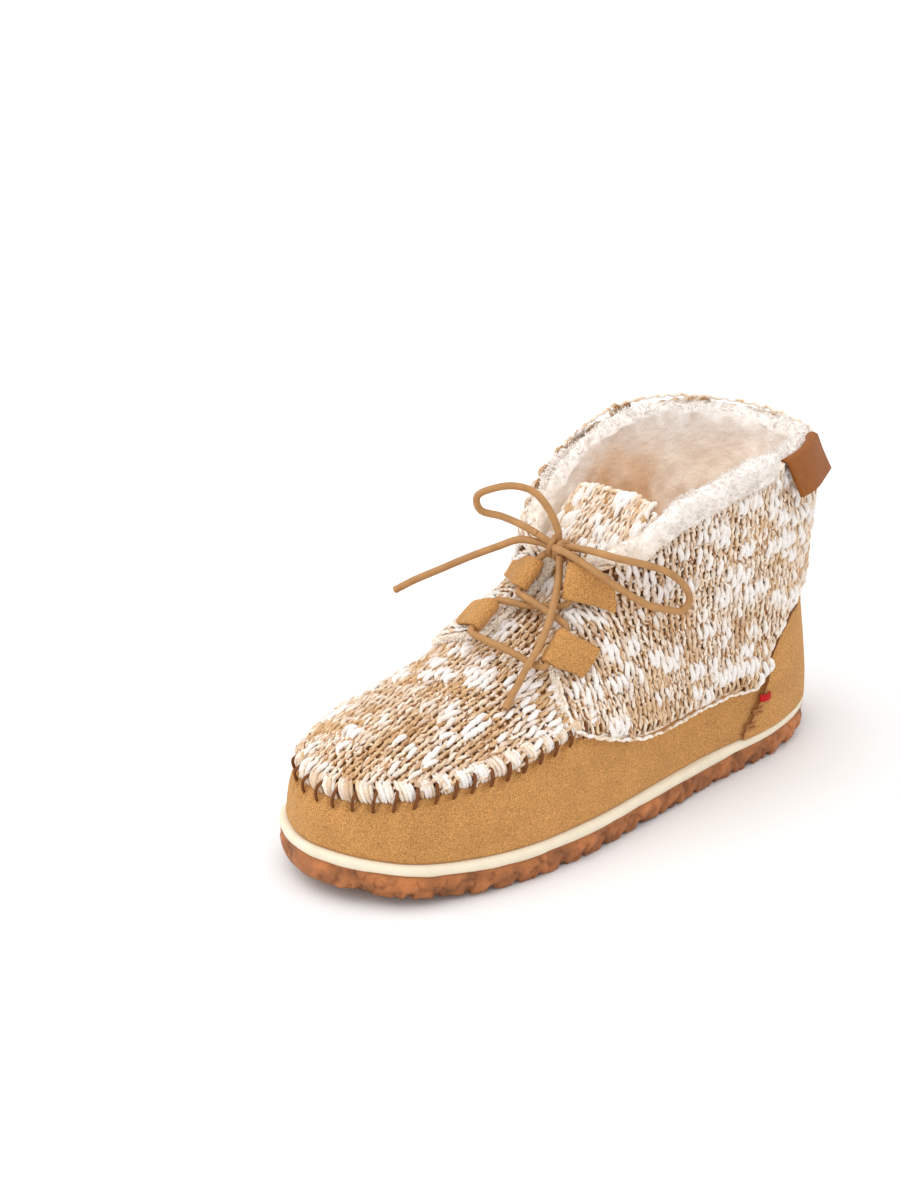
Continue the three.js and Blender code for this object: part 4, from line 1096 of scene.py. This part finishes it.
for i in range(N_ST + 1):
    s = PHASE + i * PITCH
    c, n, d, t = (at(arr, np.array([s]))[0] for arr in (SEAM, seam_n, seam_d, seam_t))
    w = np.linspace(0, 1, 12)
    down = mix(-4.8, 4.4, w)
    lift = 1.5 + 2.4 * np.sin(np.pi * np.clip(w * .9, 0, 1)) - 3.4 * w**2.4
    slant = (2.4 + .5 * rng.normal()) * (w - .5) * -1
    st_paths.append(c + d * down[:, None] + n * lift[:, None] + t * slant[:, None])
    st_r.append(.70 * (1 - .25 * np.abs(2 * w - 1) ** 4))
V, Fc, idx, ang = tube(paths, rads, 6, np.concatenate(ups))
U = np.concatenate(uu)[idx]
make("plug_gathers", V, Fc, M_YARN, ("upper",), color=main_colour(U * 1.6, np.full_like(U, 40.0), 501, ease(.2, .7, noise2(U, ang * 1.5, 1.6, .8, 502))))
V, Fc, _, _ = tube(st_paths, st_r, 6)
make("whip_stitches", V, Fc, M_STITCH, ())

# ------------------------------------------------------------------ fleece lining
SLOT_E = 24.4


def lining_top(a):
    f = fold(a)
    col = np.where(np.asarray(a) % 360 < 180, 1, 2)
    up = FLAP_EDGE[5:]
    eL = np.interp(f, up[:, 1], up[:, 0])
    eM = np.interp(f, up[:, 2], up[:, 0])
    return np.where(f > 43.3, np.interp(np.asarray(a) % 360, _cg, _ce), np.where(col == 1, eL, eM))


def lining_offsets(P, a, e):
    """Outer and inner face of the pile over the form."""
    f = fold(a)
    q = ease(-1.5, 1.5, e - line(QUARTER, f))
    edge = np.where(np.asarray(a) % 360 < 180, np.interp(e, FLAP_EDGE[:, 0], FLAP_EDGE[:, 1]), np.interp(e, FLAP_EDGE[:, 0], FLAP_EDGE[:, 2]))
    q = q * np.where(e < 46, ease(-.5, 1.5, f - edge), 1)
    fd = flap_depth(P)
    out = mix(-1.2, fd - 1.8, q)
    free = (1 - ease(24, 34, np.abs(P[..., 1]))) * ease(90, 104, P[..., 0]) * q
    inn = mix(-6.0, 0.7, free)
    t = tuck(P)
    return out - t, inn - .8 * t


def lumps(P, amp):
    return amp * (noise(P, 11, 61) * .45 + noise(P, 5.0, 62) * .50 + noise(P, 2.8, 63) * .22)


fa = np.concatenate([np.interp(np.linspace(np.interp(10.6, AS, AU), np.interp(359.0, AS, AU), 400), AU, AS)])
e0 = sight_for(fa, lambda p: feather_z(p[..., 0]))
e1 = lining_top(fa) - .8
E = mix(e0[:, None], e1[:, None], (np.linspace(0, 1, 70) ** .7)[None, :])
P, N = surf(fa[:, None], E)
oo, ii = lining_offsets(P, fa[:, None], E)
O_, I_ = P + N * oo[..., None], P + N * (ii + lumps(P, 2.6))[..., None]
fr = fold(fa)
roll_h = np.where(fa < 180, mix(mix(4.0, 10.0, ease(11, 26, fr)), 5.5, ease(88, 112, fr)), mix(4.5, 3.2, ease(20, 60, fr)))
band = ease(12, 28, fr) * (1 - ease(88, 116, fr)) * (fa < 180)
R = sheet_rim(O_, I_, roll_h, 18, np.where(fa < 180, mix(mix(2.5, 6.4, ease(11, 26, fr)), 2.4, ease(88, 112, fr)), 1.6), 5.6 * band)
R[:, O_.shape[1] - 2:-O_.shape[1]] += np.stack([noise(R[:, O_.shape[1] - 2:-O_.shape[1]], 5.0, 64 + k) * .8 + noise(R[:, O_.shape[1] - 2:-O_.shape[1]], 2.8, 74 + k) * .3 for k in range(3)], -1)
V, Fc = rings(R)


def pile_tone_and_shade(Vv):
    """White at the rim, cream down the wall, and painted shade: beige-brown deep in the cavity, in soft clouds."""
    z = Vv[:, 2] + 5 * noise(Vv, 20, 70)
    top = mix(np.array([0.82, 0.772, 0.735]), np.array([0.97, 0.88, 0.77]), (1 - ease(104, 132, z))[:, None])
    x = Vv[:, 0] + 6 * noise(Vv, 16, 73)
    ahead = mix(.14, 1.0, ease(34, 64, x)) * (1 - .8 * ease(82, 93, x) * ease(106, 117, z)) * (1 - ease(96, 108, x))
    # painted shade: the pile turns beige-brown where the cavity is deep, low down and forward of the heel
    depth_shade = np.clip((1 - ease(109, 138, z)) * ahead * (1.0 + .5 * noise(Vv, 13, 71) + .5 * noise(Vv, 5.5, 72)), 0, 1)
    return mix(top, np.array([0.72, 0.455, 0.26]), depth_shade[:, None])


make("fleece_lining", V, Fc, M_FLEECE, ("upper",), color=pile_tone_and_shade(V), attr="pile")
RIM = R

ta_ = np.linspace(-1.2, 11, 26)
e0 = sight_for(ta_, lambda p: feather_z(p[..., 0]))
E = mix(e0[:, None], SLOT_E - .5, np.linspace(0, 1, 40)[None, :])
P, N = surf(ta_[:, None], E)
V, Fc = sheet(P - N * 1.3, P - N * (6.0 + lumps(P, .8))[..., None])
make("fleece_toe", V, Fc, M_FLEECE, ("upper",), color=pile_tone_and_shade(V), attr="pile")

# under the tongue
xt = np.linspace(100.2, 166, 60)
Y = mix(tongue_edge(xt, -1)[:, None] - .4, tongue_edge(xt, 1)[:, None] + .4, np.linspace(0, 1, 34)[None, :])
P, N = tongue_face(np.broadcast_to(xt[:, None], Y.shape), Y)
V, Fc = sheet(P - N * .2, P - N * (5.2 + lumps(P, 1.4))[..., None])
make("fleece_tongue", V, Fc, M_FLEECE, ("tongue",), color=pile_tone_and_shade(V), attr="pile")


# insole sock
def sock_side(s, z, which, x):
    return .4 * noise2(s, z, 7, 4, 81), .3 * noise2(s, z, 6, 6, 82)


slab("fleece_sock", [(10.6, 15.2), (10.2, 18.5), (11.4, 20.4), (16, 20.9), (24, 20.6)], 160, M_FLEECE, "insole", sock_side)
bpy.data.objects["fleece_sock"].data.color_attributes.new("pile", "FLOAT_COLOR", "POINT").data.foreach_set("color", np.tile(np.array([.84, .76, .66, 1], np.float32), len(bpy.data.objects["fleece_sock"].data.vertices)))


def fur(name, base_p, base_n, count, length, width, lean, nodes, seed):
    """Short matted pile: small curved three-sided tufts that lean together in clumps."""
    r = np.random.default_rng(seed)
    p = base_p[:count] + r.normal(0, .3, (count, 3))
    n = base_n[:count]
    clump = np.stack([noise(p, 5.5, seed + q) for q in range(3)], -1)
    d = unit(n * .55 + lean * clump * 1.2 + r.normal(0, .25, (count, 3)))
    L = length * (.7 + .5 * r.random(count)) * (1 + .25 * noise(p, 8, seed + 5))
    s1 = unit(np.cross(d, r.normal(0, 1, (count, 3))))
    s2 = np.cross(d, s1)
    bend = (s1 * r.normal(0, .4, count)[:, None] + clump * .5) * L[:, None] * .7
    rows = []
    for t, w in ((-.15, 1.0), (.55, .85), (1.0, .22)):
        c = p + d * (L * t)[:, None] + bend * (max(t, 0) ** 2)
        for k in range(3):
            g = 2 * math.pi * k / 3
            rows.append(c + (s1 * math.cos(g) + s2 * math.sin(g)) * width * w)
    V = np.stack(rows, 1).reshape(-1, 3)
    q = np.array([[0, 1, 4, 3], [1, 2, 5, 4], [2, 0, 3, 5], [3, 4, 7, 6], [4, 5, 8, 7], [5, 3, 6, 8]])
    Fq = ((np.arange(count) * 9)[:, None, None] + q[None]).reshape(-1, 4)
    Ft = ((np.arange(count) * 9)[:, None] + np.array([6, 7, 8])[None])
    tone = pile_tone_and_shade(p)
    # painted shade: each tuft darker and warmer at its root, full tone at its tip
    root = tone * np.array([.95, .90, .84])
    col = np.stack([root, root, root, mix(root, tone, .7), mix(root, tone, .7), mix(root, tone, .7), tone, tone, tone], 1).reshape(-1, 3)
    col = col * (1 + .04 * r.normal(0, 1, count).repeat(9))[:, None]
    return make(name, V, Fq.tolist() + Ft.tolist(), M_FLEECE, nodes, color=np.clip(col, 0, .98), attr="pile")


# points over the visible pile: the roll at the collar
m_out, m_roll = O_.shape[1], R.shape[1] - 2 * O_.shape[1]
G = R
dn = np.cross(np.gradient(G, axis=0), np.gradient(G, axis=1))
gn = unit(dn)
ctr = G.mean(1, keepdims=True)
if ((G - ctr) * gn).sum() < 0:
    gn = -gn
cell = np.linalg.norm(dn, axis=2)


def scatter(i0, i1, j0, j1, count, seed, keep=None):
    r = np.random.default_rng(seed)
    w = cell[i0:i1, j0:j1].copy()
    if keep is not None:
        w = w * keep(G[i0:i1, j0:j1])
    w = w.ravel() / w.sum()
    k = r.choice(len(w), count, p=w)
    I = k // (j1 - j0) + i0 + r.random(count) - .5
    J = k % (j1 - j0) + j0 + r.random(count) - .5
    I, J = np.clip(I, 0, G.shape[0] - 1.001), np.clip(J, 0, G.shape[1] - 1.001)
    return bilinear(G, I, J), unit(bilinear(gn, I, J))


p1, n1 = scatter(0, G.shape[0], m_out - 1, m_out + m_roll - 3, 4500, 91)
fur("fleece_collar_pile", p1, n1, 4500, 1.5, .17, 1.0, ("upper",), 92)


# pile showing along the flaps' front edges
ep, en, tubes_, tr_ = [], [], [], []
for nm in ("lateral", "medial"):
    a, e = edges[nm]["front"]
    p, n = surf(a, e)
    p = respace(p + n * (flap_depth(p) - 2.6)[:, None], 1.2)
    n = surf(*angles_of(p))[1]
    t = unit(np.gradient(p, axis=0))
    sd = np.cross(t, n)
    sd = sd if (sd[:, 1] * (1 if nm == "lateral" else -1)).mean() < 0 else -sd
    tubes_.append(p)
    tr_.append(1.6 + .35 * noise(p, 4, 77))
    k = np.random.default_rng(78).integers(0, len(p), 1500)
    g = np.random.default_rng(79).uniform(-.9, .9, 1500)
    dirs = unit(sd[k] * np.cos(g)[:, None] + n[k] * np.sin(g)[:, None])
    ep.append(p[k] + dirs * 1.3)
    en.append(dirs)
V, Fc, _, _ = tube(tubes_, tr_, 8)
make("fleece_flap_edge", V, Fc, M_FLEECE, ("upper",), color=pile_tone_and_shade(V), attr="pile")
fur("fleece_flap_pile", np.concatenate(ep), np.concatenate(en), 3000, 1.3, .6, .8, ("upper",), 96)

# ------------------------------------------------------------------ lace tabs
TABS = (("tab_lateral_lower", 1, 12.1, 22.2, 11.4, 28.6, 12.5, 15.4), ("tab_lateral_upper", 1, 9.5, 38.8, 9.9, 47.5, 13.0, 15.4),
        ("tab_medial_lower", -1, 0.7, 22.5, -1.1, 27.8, 15.5, 15.4), ("tab_medial_upper", -1, 1.0, 34.3, 1.0, 42.5, 15.5, 13.4))
TAB_R, LACE_R = 3.5, 1.5


def on_flap(a, e, h=0.0):
    p, n = surf(np.asarray(a, float), np.asarray(e, float))
    return p + n * (flap_depth(p) + h)[..., None]


tabs = {}
for name, sgn, a0, e0, a1, e1, reach_, wide in TABS:
    p0, p1 = on_flap(a0, e0), on_flap(a1, e1)
    mid = (p0 + p1) / 2
    length = np.linalg.norm(p1 - p0)
    b0, b1 = on_flap(a0 + sgn * 8, e0 - 1.5), on_flap(a1 + sgn * 8, e1 - 1.5)
    behind = (b0 + b1) / 2 - mid
    along = unit(p1 - p0)
    out = unit(np.cross(along + unit(b1 - b0), behind))
    out = out if out[2] > 0 else -out
    along = unit(along - out * (along @ out))
    bk = np.cross(out, along)
    bk = bk if bk @ behind > 0 else -bk
    lift = 0.9
    for u in (-2, 2, 5, 8, 11, 14, 16):
        for w in (-.5, -.25, 0, .25, .5):
            q = mid + bk * u + along * w * length
            a, e = angles_of(q)
            lift = max(lift, float((on_flap(a, e) - q) @ out) + .9)
    axis = mid + out * (lift + .5 + TAB_R)
    tabs[name] = dict(mid=mid, along=along, bk=bk, out=out, length=length, axis=axis, lift=lift)
    # strip: from its sewn back end over the flap, round the lace and back under
    W = np.linspace(-.5, .5, 17) * wide
    us = np.linspace(reach_, 3.0, 18)
    path_o = []
    for w in W:
        q = mid + bk * us[:, None] + along * w
        a, e = angles_of(q)
        k = (us - 3.0) / (reach_ - 3.0)
        pt = on_flap(a, e, 4.0)
        top = axis + along * w + bk * us[:, None] + out * (TAB_R - .6)
        flat = mix(top, pt, ease(0, .85, k)[:, None])
        th = np.radians(np.linspace(78, 250, 14))
        roll = axis + along * w + bk * ((TAB_R - .35) * np.cos(th))[:, None] + out * ((TAB_R - .35) * np.sin(th))[:, None]
        path_o.append(np.concatenate([flat, roll]))
    Po = np.array(path_o)
    # rounded corners at the sewn end
    k = np.abs(np.linspace(-1, 1, 17))
    Po[:, 0] += (Po[:, 1] - Po[:, 0]) * (.75 * k**4)[:, None]
    tn = unit(np.gradient(Po, axis=1))
    nn = unit(np.cross(tn, np.broadcast_to(along, tn.shape)))
    if (nn[8, 2] @ out) < 0:
        nn = -nn
    edge_ = np.minimum(np.arange(17), np.arange(17)[::-1])[:, None] * np.ones((1, Po.shape[1]))
    Po = Po + nn * (.18 * noise(Po, 5, 111) + .0)[..., None] - nn * (.3 * np.exp(-edge_**2 / 1.2))[..., None]
    V, Fc = sheet(Po, Po - nn * 1.5)
    make(name + "_suede", V, Fc, M_SUEDE, (name,))

# ------------------------------------------------------------------ lace
KNOT = np.array([133.5, 5.2, 113.4])
BOW_MEDIAL = [(133.3, 4, 119.6), (133.8, 0, 127), (135.8, -8, 134.1), (140.9, -14, 136.3), (146.3, -20, 134.9), (150.5, -26, 130.5), (148.9, -26, 123.9), (144.5, -18, 122.6), (142, -9, 121.4), (139.6, -2, 119.2)]
BOW_LATERAL = [(134.5, 12.4, 116.8), (134, 25, 119.5), (129.5, 34, 118.4), (120, 41, 115), (112, 45.5, 110.8), (105, 48, 103.2), (102.8, 48.4, 96.6), (105.8, 48, 93), (112.3, 46, 94.6), (120.5, 43, 98.2), (129.5, 37, 105.8),
               (136.5, 28, 113.2), (139.6, 16, 117), (140.3, 9, 117.2)]
END_FRONT = [(138.2, 10.2, 113.6), (140.5, 12.4, 106.9), (147.5, 18, 100.6), (153.8, 22.2, 95.9), (160.2, 25.6, 90.4), (165.5, 27.1, 86.1), (171, 28, 81.6), (174.7, 27.5, 75.6), (178.6, 27.2, 70.5), (182.7, 28.4, 67.1)]
END_MEDIAL = [(138.5, -1.4, 115.2), (144.4, -7, 116.3), (150.3, -13.6, 112.6), (155.8, -25, 105.4), (161.5, -36.5, 97.4), (166.5, -46, 90.8), (171, -53, 85.1)]


def cord(name, pts, node, nodes=()):
    p = respace(smooth_path(pts, 10), 2.0)
    cu = bpy.data.curves.new(name, "CURVE")
    cu.dimensions = "3D"
    sp = cu.splines.new("POLY")
    sp.points.add(len(p) - 1)
    q = (p - OFF) / 1000
    sp.points.foreach_set("co", np.concatenate([q, np.ones((len(q), 1))], 1).ravel())
    cu.bevel_depth, cu.bevel_resolution, cu.use_fill_caps = LACE_R / 1000, 3, True
    cu.materials.append(M_LACE)
    sp.use_smooth = True
    ob = bpy.data.objects.new(name, cu)
    bpy.context.scene.collection.objects.link(ob)
    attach(ob, "root")
    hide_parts(node)
    return ob


cord("bow_loop_medial", BOW_MEDIAL, "lace_bow_medial")
cord("bow_loop_lateral", BOW_LATERAL, "lace_bow_lateral")
cord("lace_free_end_front", END_FRONT, "lace_end_front")
cord("lace_free_end_medial", END_MEDIAL, "lace_end_medial")


def through(t, up):
    d = 1 if up else -1
    return [t["axis"] + t["along"] * (k * d * t["length"] / 2) for k in (-1.32, -1, -.5, 0, .5, 1, 1.32)]


def between(p, q, t, lift):
    return mix(p, q, t) + np.array([.5, 0, .866]) * lift


LLt, LUt, MLt, MUt = (tabs[k] for k in ("tab_lateral_lower", "tab_lateral_upper", "tab_medial_lower", "tab_medial_upper"))
mu, ll, ml, lu = through(MUt, False), through(LLt, False), through(MLt, True), through(LUt, True)
run = [np.array([137.4, 1.7, 111.3]), np.array([139.4, .4, 110.0]), *mu[1:], between(mu[-1], ll[0], .3, .5), *ll, between(ll[-1], ml[0], .5, -.8), *ml, between(ml[-1], lu[0], .42, -2.3), *lu[:-1],
       np.array([136.7, 18.1, 115.3]), np.array([136.3, 14.8, 114.6]), np.array([134.8, 11.6, 113.0])]
p = respace(smooth_path(run, 8), 1.6)
V, Fc, _, _ = tube([p], [np.full(len(p), LACE_R)], 8)
make("lace_through_tabs", V, Fc, M_LACE, ("lace_run",))

# knot: two turns round the crossing and the strands that leave it
turn = np.linspace(0, 2 * np.pi * 1.02, 40)
kp = []
for k, (rx, ry, tz, sh) in enumerate(((3.7, 3.7, .45, (1.1, -1.9, .5)), (3.6, 3.6, -.4, (.8, 2.0, -.3)))):
    c = KNOT + np.array(sh)
    kp.append(np.stack([c[0] + rx * np.cos(turn) * .9, c[1] + 1.2 * np.sin(turn * 2) * .35 + tz * np.cos(turn), c[2] + ry * np.sin(turn)], -1))
kp.append(smooth_path([np.array([137.3, 1.8, 111.4]), KNOT + (1.6, -2.4, .6), KNOT + (.5, 0, 1.8), KNOT + (2.2, 3.4, 2.4), (139.9, 10, 117.2)], 8))
kp.append(smooth_path([np.array([134.8, 11.5, 113.0]), KNOT + (.4, 3.2, -.4), KNOT + (1.6, 0, -1.2), KNOT + (3.4, -3.6, .9), (138.4, -1.3, 115.2)], 8))
kp.append(smooth_path([(133.3, 4, 119.6), KNOT + (.5, -.6, 2.6), KNOT + (2.4, 1.2, .2), KNOT + (3.9, 3.4, .4), (138.2, 10.2, 113.6)], 8))
kp.append(smooth_path([(134.5, 12.4, 116.8), KNOT + (.6, 4.2, 2.0), KNOT + (1.8, .5, .6), KNOT + (4.2, -3.4, 3.6), (139.6, -2, 119.2)], 8))
V, Fc, _, _ = tube(kp, [np.full(len(q), LACE_R * .97) for q in kp], 8)
make("lace_bow_knot", V, Fc, M_LACE, ("lace_knot",))

# ------------------------------------------------------------------ collar tag: folded strip, blank
ag = np.array([103.0, 150.0])
rp, rn = surf(ag, sight_for(ag, lambda p: table(COLLAR, fold(ag)) - .5))
rn[:, 2] = 0
rn = unit(rn)
tl, tr = rp[0] + rn[0] * (KNIT + 1.0), rp[1] + rn[1] * 1.5 + np.array([0, 0, 1.5])
way = unit((tr - tl) * np.array([1, 1, 0]))
face = np.array([way[1], -way[0], 0])
face = face if face[1] > 0 else -face
w = np.linspace(0, 1, 30)
bow = 2.4 * np.sin(np.pi * w)
tt = np.linspace(0, 1, 16)
# across the fold: inner flap, over the edge, then the hanging leaf
across = np.concatenate([[-3.0, -2.6, -1.9, -1.0], 5.8 * tt**1.15])
down = np.concatenate([[2.6, .8, -.3, -.6], 13.6 * tt - .3 * (1 - tt)])
wave = .7 * np.sin(np.pi * 2 * w + .6)[:, None] * np.concatenate([np.zeros(4), tt**2])[None]
strip = mix(tl, tr, w[:, None])[:, None] + face * (across[None, :] + bow[:, None] + wave)[..., None] - np.array([0, 0, 1.0]) * np.broadcast_to(down[None, :, None], (30, 20, 1))
tn = unit(np.cross(np.gradient(strip, axis=0), np.gradient(strip, axis=1)))
if (tn[15, 12] @ face) < 0:
    tn = -tn
V, Fc = sheet(strip + tn * 1.5, strip)
make("blank_tag", V, Fc, M_TAG, ("collar_tag",))

# ------------------------------------------------------------------ counter seam: threads and bar tack
def counter_edge(zz, side, h):
    rows = COUNTER_TOP[::1]
    a = np.interp(zz, rows[:, 1], rows[:, 0])
    a = a if side > 0 else 360 - a
    e = sight_for(np.array([a]), lambda p: np.full(p.shape[:-1], zz))
    p, n = surf(np.array([a]), e)
    return p[0] + n[0] * h, n[0]


thr, thr_r, red, red_r, tack, tack_r = [], [], [], [], [], []
for side in (1, -1):
    for zz in (20.5, 26.0):
        c, n = counter_edge(zz, side, 2.0)
        t = unit(np.cross(n, np.array([0, 0, 1.0])))
        w = np.linspace(-1, 1, 9)
        for dz, sl in ((-.8, .5), (.9, -.4)):
            tack.append(c - t * (1.4 * side) + t * (2.9 * w)[:, None] + np.array([0, 0, 1.0]) * (dz + sl * w)[:, None] + n * (.9 * (1 - w**2) - .4)[:, None])
            tack_r.append(np.full(9, .6))
    c, n = counter_edge(31.0, side, 2.6)
    t = unit(np.cross(n, np.array([0, 0, 1.0])))
    for k in range(5):
        w = np.linspace(-1, 1, 9)
        red.append(c - t * (1.9 * side) + t * (3.3 * w)[:, None] + np.array([0, 0, 1.0]) * (-1.2 + .6 * k + .3 * side * w)[:, None] + n * (1.0 * (1 - w**2) - .4)[:, None])
        red_r.append(np.full(9, .45))
    line_ = np.array([counter_edge(zz, side, 1.7 if zz < 30 else 2.0)[0] for zz in np.linspace(16.4, 61.5, 60)])
    thr.append(line_)
    thr_r.append(np.full(60, .42))
V, Fc, _, _ = tube(thr, thr_r, 6)
make("counter_threads", V, Fc, M_TAN, ())
V, Fc, _, _ = tube(tack, tack_r, 6)
make("counter_tacks", V, Fc, M_TACK, ())
V, Fc, _, _ = tube(red, red_r, 6)
make("bar_tacks", V, Fc, M_RED, ())
